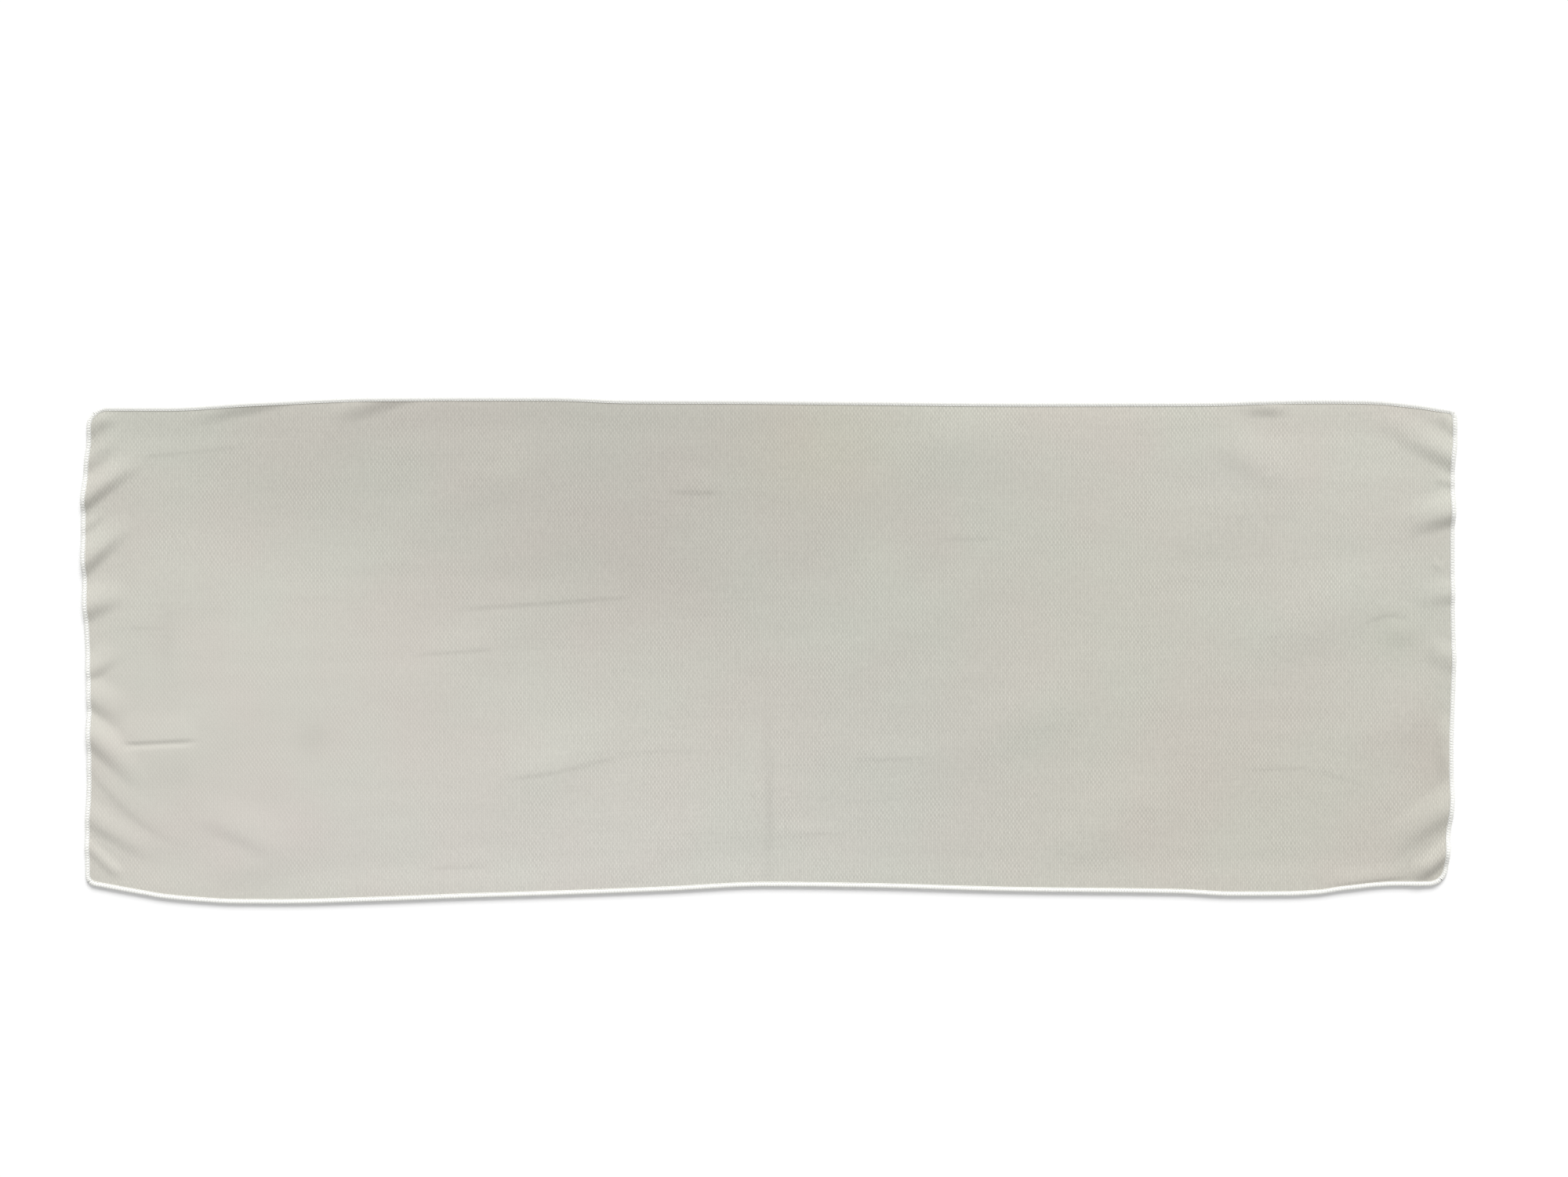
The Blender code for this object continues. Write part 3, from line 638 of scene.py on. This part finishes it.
def tube(centre, reference, radius):
    """A tube of thread: rings about a line, at r (cos t normal + sin t side), and two end caps.

    The normal is the reference direction made square to the line, and the side is square to both.
    """
    ahead = np.gradient(centre, axis=0)
    ahead /= np.linalg.norm(ahead, axis=1, keepdims=True)
    side = np.cross(ahead, reference)
    side /= np.linalg.norm(side, axis=1, keepdims=True)
    normal = np.cross(side, ahead)
    turn = 2 * math.pi * np.arange(THREAD_SIDES) / THREAD_SIDES
    around = np.cos(turn)[:, None] * normal[:, None, :] + np.sin(turn)[:, None] * side[:, None, :]
    points = centre[:, None, :] + radius * around
    numbers = np.arange(points[..., 0].size).reshape(points.shape[:2])
    wrapped = np.concatenate((numbers, numbers[:, :1]), axis=1)
    gone = np.concatenate(([0.0], np.cumsum(np.linalg.norm(np.diff(centre, axis=0), axis=1))))
    caps = np.stack((numbers[0], numbers[-1, ::-1]))
    return points.reshape(-1, 3), grid_faces(wrapped)[:, ::-1], caps, gone


print(f"{STITCH_LENGTH * 1000:.1f} mm stitches of thread {2 * THREAD_RADIUS * 1000:.1f} mm thick")

# %% [markdown]
# A looper thread swings from the needle line to the edge and back once in each stitch. The one below
# is half a stitch behind the one above, so that the two lock along the edge. One loop could be drawn
# and repeated along a curve. A cosine of the length along the run draws all of them at once.

# %% Looper and needle threads
# where the loops begin and how far they sweep, in quarter turns on the way from the lip to the nose
LOOP_INNER = 0.04
LOOP_SWEEP = 0.94
# how far inside the hem's lip the needle thread runs
NEEDLE_INSET = 0.3 * THREAD_RADIUS


def looper(run, shift, face):
    """The looper thread on one face (1 above, -1 below), from the needle line to the edge and back.

    Its swing goes from 0 to 1 and back as (1 - cos) / 2 of a full turn for each stitch, moved along by
    shift of a stitch. Its turn t is LOOP_INNER plus LOOP_SWEEP times the swing, in quarter turns. It is
    sin t of the way from the lip to the nose, on the bead's surface.
    """
    length = run_length(run)
    stitches = round((length - RUN_GAP) / STITCH_LENGTH)
    phase = np.linspace(0.0, stitches, stitches * LOOP_POINTS + 1)
    swing = 0.5 - 0.5 * np.cos(2 * math.pi * (phase + shift))
    turn = (LOOP_INNER + LOOP_SWEEP * swing) * math.pi / 2
    distances = RUN_GAP / 2 + (length - RUN_GAP) * phase / stitches
    rail = rail_along(run, distances)
    reach = HEM_WIDTH - THREAD_RADIUS
    out = reach * np.sin(turn) - HEM_BITE
    up = face * (HALF_HEM - THREAD_RADIUS) * bead(np.sin(turn))
    away = np.column_stack((rail.out * np.sin(turn)[:, None], face * np.cos(turn)))
    return tube(on_hem(rail, out, up), away, THREAD_RADIUS)


def needle(run):
    """The needle thread: short stitches along the lip that dive into the cloth at both ends.

    Each stitch is lifted by the root of the sine of a half turn along it.
    """
    length = run_length(run)
    stitches = round((length - RUN_GAP) / STITCH_LENGTH)
    phase = np.linspace(0.0, stitches, stitches * NEEDLE_POINTS + 1)
    rail = rail_along(run, RUN_GAP / 2 + (length - RUN_GAP) * phase / stitches)
    lifted = np.sqrt(np.abs(np.sin(math.pi * phase)))
    low, high = HALF_CLOTH - THREAD_RADIUS, HALF_CLOTH + THREAD_RADIUS
    out = np.full_like(phase, -HEM_BITE - NEEDLE_INSET)
    upright = np.tile((0.0, 0.0, 1.0), (len(phase), 1))
    return tube(on_hem(rail, out, low + (high - low) * lifted), upright, THREAD_RADIUS)


stitch_counts = {name: round((run_length(run) - RUN_GAP) / STITCH_LENGTH) for name, run in runs.items()}
print("stitches", stitch_counts)

# %% [markdown]
# ## The hem in four pieces
#
# Under its loops the edge is a bed of packed thread. It fills the CAD hem's channel down to the cloth,
# with a thin lip on the cloth and a round nose outside it, and it is lower than the channel by most of
# the thickness of the loops that lie on it. Bed, loops and needle thread of one run are joined into one
# mesh, because nothing in a sewn edge moves on its own.

# %% The thread bed and the joined runs
# the lip lies a hair above the cloth, so that the two surfaces aren't in one place
LIP_RISE = 0.00003
LIP_UP = HALF_CLOTH + LIP_RISE
# places of the section's points, as shares of the way from the lip to the nose
BED_WAYS = np.array((0.2, 0.5, 0.8, 0.95))

bed_out = (HEM_BITE + BED_NOSE) * BED_WAYS - HEM_BITE
bed_up = BED_HALF * bead(BED_WAYS)
BED_SECTION = np.concatenate(
    (
        ((-HEM_BITE, -LIP_UP),),
        np.column_stack((bed_out, -bed_up)),
        ((BED_NOSE, 0.0),),
        np.column_stack((bed_out, bed_up))[::-1],
        ((-HEM_BITE, LIP_UP), (HEM_CLEARANCE, LIP_UP), (HEM_CLEARANCE, -LIP_UP)),
    )
)


def thread_bed(run):
    """The channel of packed thread: its section carried along the run, with both ends closed.

    There are two rings of it for each stitch.
    """
    length = run_length(run)
    rings = round(2 * length / STITCH_LENGTH)
    rail = rail_along(run, np.linspace(RUN_GAP / 2, length - RUN_GAP / 2, rings + 1))
    wide = Rail(*(part[:, None] for part in rail))
    out, up = (np.broadcast_to(values, (rings + 1, len(BED_SECTION))) for values in BED_SECTION.T)
    points = on_hem(wide, out, up)
    numbers = np.arange(points[..., 0].size).reshape(points.shape[:2])
    wrapped = np.concatenate((numbers, numbers[:, :1]), axis=1)
    caps = np.stack((numbers[0], numbers[-1, ::-1]))
    gone = np.linspace(0.0, length, rings + 1)
    return points.reshape(-1, 3), grid_faces(wrapped)[:, ::-1], caps, gone


def joined_run(name, run):
    """One object of a run's thread bed, two looper threads and needle thread, with lengths as UVs."""
    parts = [thread_bed(run), looper(run, 0.0, 1.0), looper(run, 0.5, -1.0), needle(run)]
    points, faces, gone, around, first = [], [], [], [], 0
    for places, quads, caps, along in parts:
        sides_round = len(places) // len(along)
        points.append(places)
        faces += [quads + first, caps + first]
        gone.append(np.repeat(along, sides_round))
        around.append(np.tile(np.arange(sides_round) / sides_round, len(along)))
        first += len(places)
    made = make_object(name, np.concatenate(points), faces)
    corners = np.empty(len(made.data.loops), dtype=np.int32)
    made.data.loops.foreach_get("vertex_index", corners)
    laid = np.column_stack((np.concatenate(gone)[corners], np.concatenate(around)[corners]))
    made.data.uv_layers.new(name="thread length").data.foreach_set("uv", laid.ravel())
    return made


hems = []
for side_name, side_run in runs.items():
    hem = joined_run(f"overlock_{side_name}", side_run)
    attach(hem, "root")
    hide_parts(f"hem_{side_name}")
    hem.data.calc_loop_triangles()
    print(f"{hem.name} {len(hem.data.loop_triangles)} triangles")
    hems.append(hem)

# %% [markdown]
# ## Colours and nodes
#
# Colours are written as sRGB hex values, as a colour picker shows them, and one function turns them to
# the linear values that a shader needs. Another small function adds any node with its settings and
# links, so that a material reads from top to bottom.

# %% Two helpers for materials
def linear(hex_colour):
    """sRGB to linear: c / 12.92 up to 0.04045, and ((c + 0.055) / 1.055)^2.4 above it."""
    values = [int(hex_colour[i : i + 2], 16) / 255 for i in (1, 3, 5)]
    return (*(c / 12.92 if c <= 0.04045 else ((c + 0.055) / 1.055) ** 2.4 for c in values), 1.0)


def add_node(tree, kind, inputs, **settings):
    """Adds a node with its settings. An input is linked if it is a socket, and else set."""
    node = tree.nodes.new(kind)
    for name, value in settings.items():
        setattr(node, name, value)
    for socket, value in inputs.items():
        if isinstance(value, bpy.types.NodeSocket):
            tree.links.new(value, node.inputs[socket])
        else:
            node.inputs[socket].default_value = value
    return node.outputs


print("cloth colour in linear light", [round(c, 3) for c in linear("#c9c7be")])

# %% [markdown]
# ## Perforated polyester warp knit
#
# The towel is warp-knitted polyester microfibre. Fine ribs, the wales, run across it 1.15 mm apart, and
# small eyelets between them lie in offset rows 3.35 mm apart. The yarn is matt with a faint soft sheen.
# The knit is far too fine to build, so it is height and colour from Object coordinates, at its true
# spacing. It wanders and fades a little, because no part of a real knit lies equally tight.

# %% Ribs and eyelets of the knit
WALE_SPACING = 0.00115
EYELET_SPACING = 0.00335
# how far the pattern wanders, and how many times in a metre it does and its tightness changes
WANDER = 0.0016
WANDERS_PER_METRE = 45.0
PATCHES_PER_METRE = 38.0
# a noise is mostly near a half, so this part of its range is spread over the whole change
PATCH_RANGE = (0.35, 0.68)
FAINTEST_EYELETS = 0.3

knit = bpy.data.materials.new("perforated polyester warp knit")
knit.use_nodes = True
tree = knit.node_tree
place = add_node(tree, "ShaderNodeTexCoord", {})["Object"]
wander = add_node(
    tree, "ShaderNodeTexNoise", {"Vector": place, "Scale": WANDERS_PER_METRE, "Detail": 2.0}
)["Color"]
shifted = add_node(
    tree,
    "ShaderNodeVectorMath",
    {0: wander, 1: (WANDER, WANDER, 0.0), 2: place},
    operation="MULTIPLY_ADD",
)[0]
along = add_node(tree, "ShaderNodeSeparateXYZ", {0: shifted})
turns = {
    "wale": (along["X"], 2 * math.pi / WALE_SPACING),
    "eyelet_x": (along["X"], math.pi / WALE_SPACING),
    "eyelet_y": (along["Y"], 2 * math.pi / EYELET_SPACING),
}
waves = {}
for name, (socket, factor) in turns.items():
    angle = add_node(tree, "ShaderNodeMath", {0: socket, 1: factor}, operation="MULTIPLY")[0]
    waves[name] = add_node(tree, "ShaderNodeMath", {0: angle}, operation="COSINE")[0]
lattice = add_node(
    tree, "ShaderNodeMath", {0: waves["eyelet_x"], 1: waves["eyelet_y"]}, operation="MULTIPLY"
)[0]
patches = add_node(
    tree, "ShaderNodeTexNoise", {"Vector": place, "Scale": PATCHES_PER_METRE, "Detail": 2.0}
)[0]
tightness = add_node(
    tree,
    "ShaderNodeMapRange",
    {
        "Value": patches,
        "From Min": PATCH_RANGE[0],
        "From Max": PATCH_RANGE[1],
        "To Min": FAINTEST_EYELETS,
        "To Max": 1.0,
    },
)[0]
eyelets = add_node(tree, "ShaderNodeMath", {0: lattice, 1: tightness}, operation="MULTIPLY")[0]
print("eyelets per square centimetre", round(1e-4 / (WALE_SPACING * EYELET_SPACING), 1))

# %% [markdown]
# The yarns aren't all alike: some wales are a little thicker or paler than their neighbours for a few
# millimetres, and some courses, the rows of stitches along the towel, are pulled for a few centimetres.
# Two stretched noises give the knit this grain, and a third, even one stands for single thick stitches.

# %% The grain of the yarns
# sizes along X, Y and Z in metres; a yarn is about 0.15 mm thick, which is too fine to show in the
# render, so its grain is drawn some ten times as coarse
GRAIN_SIZES = {
    "wales": (0.0012, 0.0036, 0.0036),
    "courses": (0.0220, 0.0012, 0.0012),
    "stitches": (0.0014, 0.0014, 0.0014),
}

grains = {}
for name, size in GRAIN_SIZES.items():
    grain_place = add_node(
        tree, "ShaderNodeVectorMath", {0: place, 1: tuple(1 / s for s in size)}, operation="MULTIPLY"
    )[0]
    grains[name] = add_node(
        tree, "ShaderNodeTexNoise", {"Vector": grain_place, "Scale": 1.0, "Detail": 2.0}
    )[0]
print("grain in mm", {name: [round(s * 1000, 1) for s in size[:2]] for name, size in GRAIN_SIZES.items()})

# %% [markdown]
# The yarn is a pale warm grey. Its hue drifts between greener and browner over some centimetres. It is
# darker between the ribs and in the eyelets, where light goes through to the shade underneath, and
# every second rib is a shade darker, because the eyelets pull the wales together in pairs. Two
# attributes of the cloth's vertices, which later cells set, tint it with broad painted light and shade
# and say how open the knit looks.

# %% Colour of the knit
HUES_PER_METRE = 11.0
HUE_RANGE = (0.38, 0.62)
# the knit's mean brightness as a share of the yarn's, and how much each part of the pattern changes it
KNIT_LEVEL = 0.992
EYELET_SHADE = 0.110
WALE_SHADE = 0.05
PAIR_SHADE = 0.017
GRAIN_SHADES = {"wales": 0.15, "courses": 0.07, "stitches": 0.15}

hue = add_node(tree, "ShaderNodeTexNoise", {"Vector": place, "Scale": HUES_PER_METRE, "Detail": 3.0})[0]
hue_share = add_node(
    tree, "ShaderNodeMapRange", {"Value": hue, "From Min": HUE_RANGE[0], "From Max": HUE_RANGE[1]}
)[0]
yarn = add_node(
    tree,
    "ShaderNodeMix",
    {0: hue_share, 6: linear("#c2c2b8"), 7: linear("#c3c0b7")},
    data_type="RGBA",
)[2]
# this attribute carries the broad patches of painted light and painted shade, as well as their hue
tint_and_shade = add_node(tree, "ShaderNodeAttribute", {}, attribute_name="tint_and_shade")["Vector"]
tinted_and_shaded = add_node(tree, "ShaderNodeVectorMath", {0: yarn, 1: tint_and_shade}, operation="MULTIPLY")[0]
weave = add_node(tree, "ShaderNodeMath", {0: eyelets, 1: -EYELET_SHADE}, operation="MULTIPLY")[0]
contrasts = [(waves["wale"], WALE_SHADE), (waves["eyelet_x"], PAIR_SHADE)]
contrasts += [(grain, GRAIN_SHADES[name]) for name, grain in grains.items()]
for part, contrast in contrasts:
    weave = add_node(
        tree, "ShaderNodeMath", {0: part, 1: contrast, 2: weave}, operation="MULTIPLY_ADD"
    )[0]
level = add_node(
    tree, "ShaderNodeMath", {0: weave, 1: sum(GRAIN_SHADES.values()) / 2}, operation="SUBTRACT"
)[0]
openness = add_node(tree, "ShaderNodeAttribute", {}, attribute_name="openness")["Fac"]
shade = add_node(
    tree, "ShaderNodeMath", {0: level, 1: openness, 2: KNIT_LEVEL}, operation="MULTIPLY_ADD"
)[0]
colour = add_node(tree, "ShaderNodeVectorMath", {0: tinted_and_shaded, "Scale": shade}, operation="SCALE")[0]
print("pattern contrasts", EYELET_SHADE, WALE_SHADE, PAIR_SHADE, GRAIN_SHADES)

# %% [markdown]
# The same waves and grain are the bump, each a few hundredths of a millimetre high, with a fuzz of
# loose fibres over them. Single fibres are too fine to show in the render, so the fuzz is drawn
# coarser. The surface is matt with a faint sheen, as brushed microfibre is, and a little smoother
# where the eyelets show most.

# %% Height and shine of the knit
# heights in millimetres
RIB_HEIGHT = 0.04
EYELET_DEPTH = 0.05
RIDGE_HEIGHT = 0.10
FUZZ_HEIGHT = 0.06
FUZZ_PER_METRE = 1400.0
MILLIMETRE = 0.001

fuzz = add_node(tree, "ShaderNodeTexNoise", {"Vector": place, "Scale": FUZZ_PER_METRE, "Detail": 2.0})[0]
relief = add_node(tree, "ShaderNodeMath", {0: waves["wale"], 1: RIB_HEIGHT}, operation="MULTIPLY")[0]
for part, height in ((eyelets, -EYELET_DEPTH), (grains["wales"], RIDGE_HEIGHT), (fuzz, FUZZ_HEIGHT)):
    relief = add_node(
        tree, "ShaderNodeMath", {0: part, 1: height, 2: relief}, operation="MULTIPLY_ADD"
    )[0]
bump = add_node(tree, "ShaderNodeBump", {"Height": relief, "Distance": MILLIMETRE, "Strength": 0.8})[0]
shader = tree.nodes["Principled BSDF"]
tree.links.new(colour, shader.inputs["Base Color"])
tree.links.new(bump, shader.inputs["Normal"])
rough = add_node(
    tree, "ShaderNodeMapRange", {"Value": patches, "To Min": 0.92, "To Max": 0.78}
)[0]
tree.links.new(rough, shader.inputs["Roughness"])
shine = {"IOR": 1.5, "Specular IOR Level": 0.3, "Sheen Weight": 0.12, "Sheen Roughness": 0.5}
for name, value in shine.items():
    shader.inputs[name].default_value = value
cloth.data.materials.append(knit)
print(f"knit material with {len(tree.nodes)} nodes")

# %% [markdown]
# Broad soft patches make the cloth a little greener or redder, which is the yarn's own drifting hue, and
# a shade lighter or darker, which is painted light and painted shade. These stand in for how the broad
# swells, the folds and the creases catch the light, and some narrow dark ones lie along creases and
# folds.
# They could be painted as an image. A short table of soft round patches gives each vertex of the cloth a
# tint and painted shade instead, and the material multiplies the yarn's colour by it.

# %% Broad soft patches of hue, painted light and painted shade
# middle as shares of the length and width, radii as shares of them, and how much lighter, redder than
# blue, and greener than both; lighter is painted light, and where it is below 0 it is painted shade
TINT_AND_SHADE_PATCHES = (
    (0.42, 0.84, 0.24, 0.34, -0.112, 0.006, -0.012),
    (0.54, 0.90, 0.06, 0.12, 0.000, 0.018, 0.022),
    (0.21, 0.28, 0.32, 0.42, 0.060, 0.000, -0.014),
    (0.38, 0.06, 0.20, 0.20, 0.028, -0.008, -0.012),
    (0.14, 0.58, 0.11, 0.16, 0.030, 0.000, 0.004),
    (0.36, 0.66, 0.08, 0.10, -0.030, -0.003, 0.010),
    (0.91, 0.98, 0.16, 0.20, 0.055, 0.006, -0.008),
    (0.14, 0.84, 0.11, 0.10, -0.055, 0.000, 0.005),
    (0.68, 0.97, 0.14, 0.06, 0.040, 0.006, 0.000),
    (0.835, 0.845, 0.040, 0.050, -0.040, -0.006, 0.000),
    (0.965, 0.050, 0.050, 0.080, -0.055, 0.004, -0.004),
    (0.14, 0.12, 0.10, 0.10, 0.000, 0.000, -0.014),
    (0.75, 0.62, 0.08, 0.24, 0.000, 0.012, -0.012),
    (0.86, 0.20, 0.20, 0.24, -0.030, 0.014, -0.006),
    (0.70, 0.60, 0.20, 0.30, -0.015, -0.003, 0.012),
    (0.955, 0.530, 0.024, 0.060, -0.050, 0.000, 0.020),
    (0.980, 0.300, 0.016, 0.160, -0.040, 0.008, -0.004),
    (0.499, 0.160, 0.004, 0.180, -0.050, 0.000, 0.000),
    (0.062, 0.510, 0.007, 0.080, -0.035, 0.000, 0.000),
    (0.169, 0.329, 0.013, 0.036, -0.055, 0.000, 0.004),
    (0.311, 0.868, 0.015, 0.040, 0.030, 0.000, 0.010),
    (0.580, 0.684, 0.022, 0.050, 0.030, 0.000, 0.010),
    (0.620, 0.980, 0.200, 0.060, 0.030, 0.000, 0.000),
    (0.600, 0.250, 0.100, 0.240, -0.018, -0.010, 0.004),
    (0.640, 0.060, 0.070, 0.080, -0.014, 0.000, 0.000),
)


def tint_and_shade_at(x, y):
    """Red, green and blue factors: 1, plus for each patch its strengths times exp(-d^2).

    The distance d from the patch's middle is counted in the patch's own radii.
    """
    share_x, share_y = x / TOWEL_LENGTH + 0.5, y / TOWEL_WIDTH + 0.5
    tint_and_shade = np.ones((*x.shape, 3))
    for middle_x, middle_y, radius_x, radius_y, lighter, redder, greener in TINT_AND_SHADE_PATCHES:
        distance = ((share_x - middle_x) / radius_x) ** 2 + ((share_y - middle_y) / radius_y) ** 2
        # the lighter part is painted light, or painted shade where it is below 0, on all three channels
        shift = np.array((lighter + redder, lighter + greener, lighter - redder))
        tint_and_shade += np.exp(-distance)[..., None] * shift
    return tint_and_shade


# each vertex's tint, with the patches' painted light and painted shade
top_tint_and_shade = tint_and_shade_at(grid_x, grid_y)
cloth_tint_and_shade = np.concatenate((top_tint_and_shade.reshape(-1, 3), top_tint_and_shade[::2].reshape(-1, 3)))
cloth.data.attributes.new("tint_and_shade", "FLOAT_VECTOR", "POINT").data.foreach_set("vector", cloth_tint_and_shade.ravel())
print(f"tint from {cloth_tint_and_shade.min():.3f} to {cloth_tint_and_shade.max():.3f}")

# %% [markdown]
# The front left third lies flatter and shows its knit less. A second material could be blended in
# there. A number at each vertex is simpler: it says how open the knit looks, and the material scales
# the contrast of its pattern by it.

# %% How open the knit looks
# middle and radii as shares of the length and width, and how much of the contrast goes at the middle
SMOOTH_MIDDLE = (0.10, 0.32)
SMOOTH_RADII = (0.20, 0.36)
SMOOTH_DEPTH = 0.68


def openness_at(x, y):
    """1, less SMOOTH_DEPTH times exp(-d^2), with d the distance from the smooth place in its radii."""
    share_x, share_y = x / TOWEL_LENGTH + 0.5, y / TOWEL_WIDTH + 0.5
    along = (share_x - SMOOTH_MIDDLE[0]) / SMOOTH_RADII[0]
    across = (share_y - SMOOTH_MIDDLE[1]) / SMOOTH_RADII[1]
    return 1.0 - SMOOTH_DEPTH * np.exp(-(along**2) - across**2)


top_open = openness_at(grid_x, grid_y)
cloth_open = np.concatenate((top_open.ravel(), top_open[::2].ravel()))
cloth.data.attributes.new("openness", "FLOAT", "POINT").data.foreach_set("value", cloth_open)
print(f"openness from {cloth_open.min():.2f} to {cloth_open.max():.2f}")

# %% [markdown]
# ## Textured nylon overlock thread
#
# The edge is sewn with white textured nylon, a soft crimped yarn that fills out between stitches. It is
# matt, nearly pure white and faintly twisted. The twist follows each thread by its UV map, which holds
# the length along the thread.

# %% The thread's material
TWIST_LENGTH = 0.0009
# the height of the twist as a share of the crimp's, which is also drawn coarser than it is
TWIST_SHARE = 0.03
CRIMP_HEIGHT = 0.0001
CRIMPS_PER_METRE = 900.0

thread = bpy.data.materials.new("textured nylon overlock thread")
thread.use_nodes = True
tree = thread.node_tree
laid = add_node(tree, "ShaderNodeUVMap", {}, uv_map="thread length")[0]
ways = add_node(tree, "ShaderNodeSeparateXYZ", {0: laid})
length_turns = add_node(
    tree, "ShaderNodeMath", {0: ways["X"], 1: 1 / TWIST_LENGTH, 2: ways["Y"]}, operation="MULTIPLY_ADD"
)[0]
twist_angle = add_node(tree, "ShaderNodeMath", {0: length_turns, 1: 2 * math.pi}, operation="MULTIPLY")[0]
twist = add_node(tree, "ShaderNodeMath", {0: twist_angle}, operation="SINE")[0]
thread_place = add_node(tree, "ShaderNodeTexCoord", {})["Object"]
crimp = add_node(
    tree, "ShaderNodeTexNoise", {"Vector": thread_place, "Scale": CRIMPS_PER_METRE, "Detail": 2.0}
)[0]
thread_relief = add_node(
    tree, "ShaderNodeMath", {0: twist, 1: TWIST_SHARE, 2: crimp}, operation="MULTIPLY_ADD"
)[0]
thread_bump = add_node(
    tree, "ShaderNodeBump", {"Height": thread_relief, "Distance": CRIMP_HEIGHT, "Strength": 0.6}
)[0]
thread_colour = add_node(
    tree, "ShaderNodeMix", {0: crimp, 6: linear("#e9e9e4"), 7: linear("#f7f7f4")}, data_type="RGBA"
)[2]
shader = tree.nodes["Principled BSDF"]
tree.links.new(thread_colour, shader.inputs["Base Color"])
tree.links.new(thread_bump, shader.inputs["Normal"])
shine = {"Roughness": 0.75, "IOR": 1.53, "Specular IOR Level": 0.35, "Sheen Weight": 0.1}
for name, value in shine.items():
    shader.inputs[name].default_value = value
for hem in hems:
    hem.data.materials.append(thread)
print(f"thread material with {len(tree.nodes)} nodes")

# %% [markdown]
# ## Floor, light and camera
#
# The towel lies on a plain near-white floor. The light is that of a studio with one broad soft source
# beyond the back edge and white walls all round. A sun lamp with a wide disc gives the same light at
# both ends of the towel, which a nearby panel would not.

# %% A pale floor
FLOOR_HALF = 6.0
# below the towel's lowest point, so that no two surfaces are in one place
FLOOR_DROP = 0.0001

floor_z = CAD_LOW[2] - FLOOR_DROP
floor_corners = np.array([(x, y, floor_z) for x, y in ((-1, -1), (1, -1), (1, 1), (-1, 1))])
floor = make_object("floor", floor_corners * (FLOOR_HALF, FLOOR_HALF, 1), [np.array([(0, 1, 2, 3)])])
paper = bpy.data.materials.new("matt white paper backdrop")
paper.use_nodes = True
shader = paper.node_tree.nodes["Principled BSDF"]
shader.inputs["Base Color"].default_value = linear("#fbfbfb")
shader.inputs["Roughness"].default_value = 0.95
floor.data.materials.append(paper)
print(f"floor at z {floor_z * 1000:.1f} mm")

# %% Soft studio light
KEY_ELEVATION = 35.0
KEY_DISC = 35.0
KEY_STRENGTH = 3.06
FILL_STRENGTH = 0.535
KEY_TURN = 8.0

key = bpy.data.lights.new("key", "SUN")
key.energy = KEY_STRENGTH
key.angle = math.radians(KEY_DISC)
key_lamp = bpy.data.objects.new("key", key)
# turned about X, the lamp shines down and towards -Y, and then about Z, a little towards -X as well
key_lamp.rotation_euler = (-math.radians(90.0 - KEY_ELEVATION), 0.0, -math.radians(KEY_TURN))
bpy.context.scene.collection.objects.link(key_lamp)
room = bpy.data.worlds.new("white room")
room.use_nodes = True
room.node_tree.nodes["Background"].inputs["Color"].default_value = (1.0, 1.0, 1.0, 1.0)
room.node_tree.nodes["Background"].inputs["Strength"].default_value = FILL_STRENGTH
bpy.context.scene.world = room
bpy.context.scene.view_settings.view_transform = "Standard"
print(f"key {KEY_STRENGTH} W per square metre, {KEY_ELEVATION} degrees up")

# %% [markdown]
# The camera looks straight down, as the photograph does. At 1.3 m a 50 mm lens takes in 0.94 m, and the
# towel lies a little below the middle of the picture.

# %% The camera
VIEW_WIDTH = 0.9414
LENS = 50.0
SENSOR = 36.0
CAMERA_X = 0.0089
CAMERA_Y = 0.0369

camera = bpy.data.cameras.new("camera")
camera.lens = LENS
camera.sensor_width = SENSOR
camera_object = bpy.data.objects.new("camera", camera)
camera_object.location = (CAMERA_X, CAMERA_Y, CLOTH_THICKNESS + VIEW_WIDTH * LENS / SENSOR)
bpy.context.scene.collection.objects.link(camera_object)
bpy.context.scene.camera = camera_object
print(f"camera {camera_object.location.z:.3f} m up")
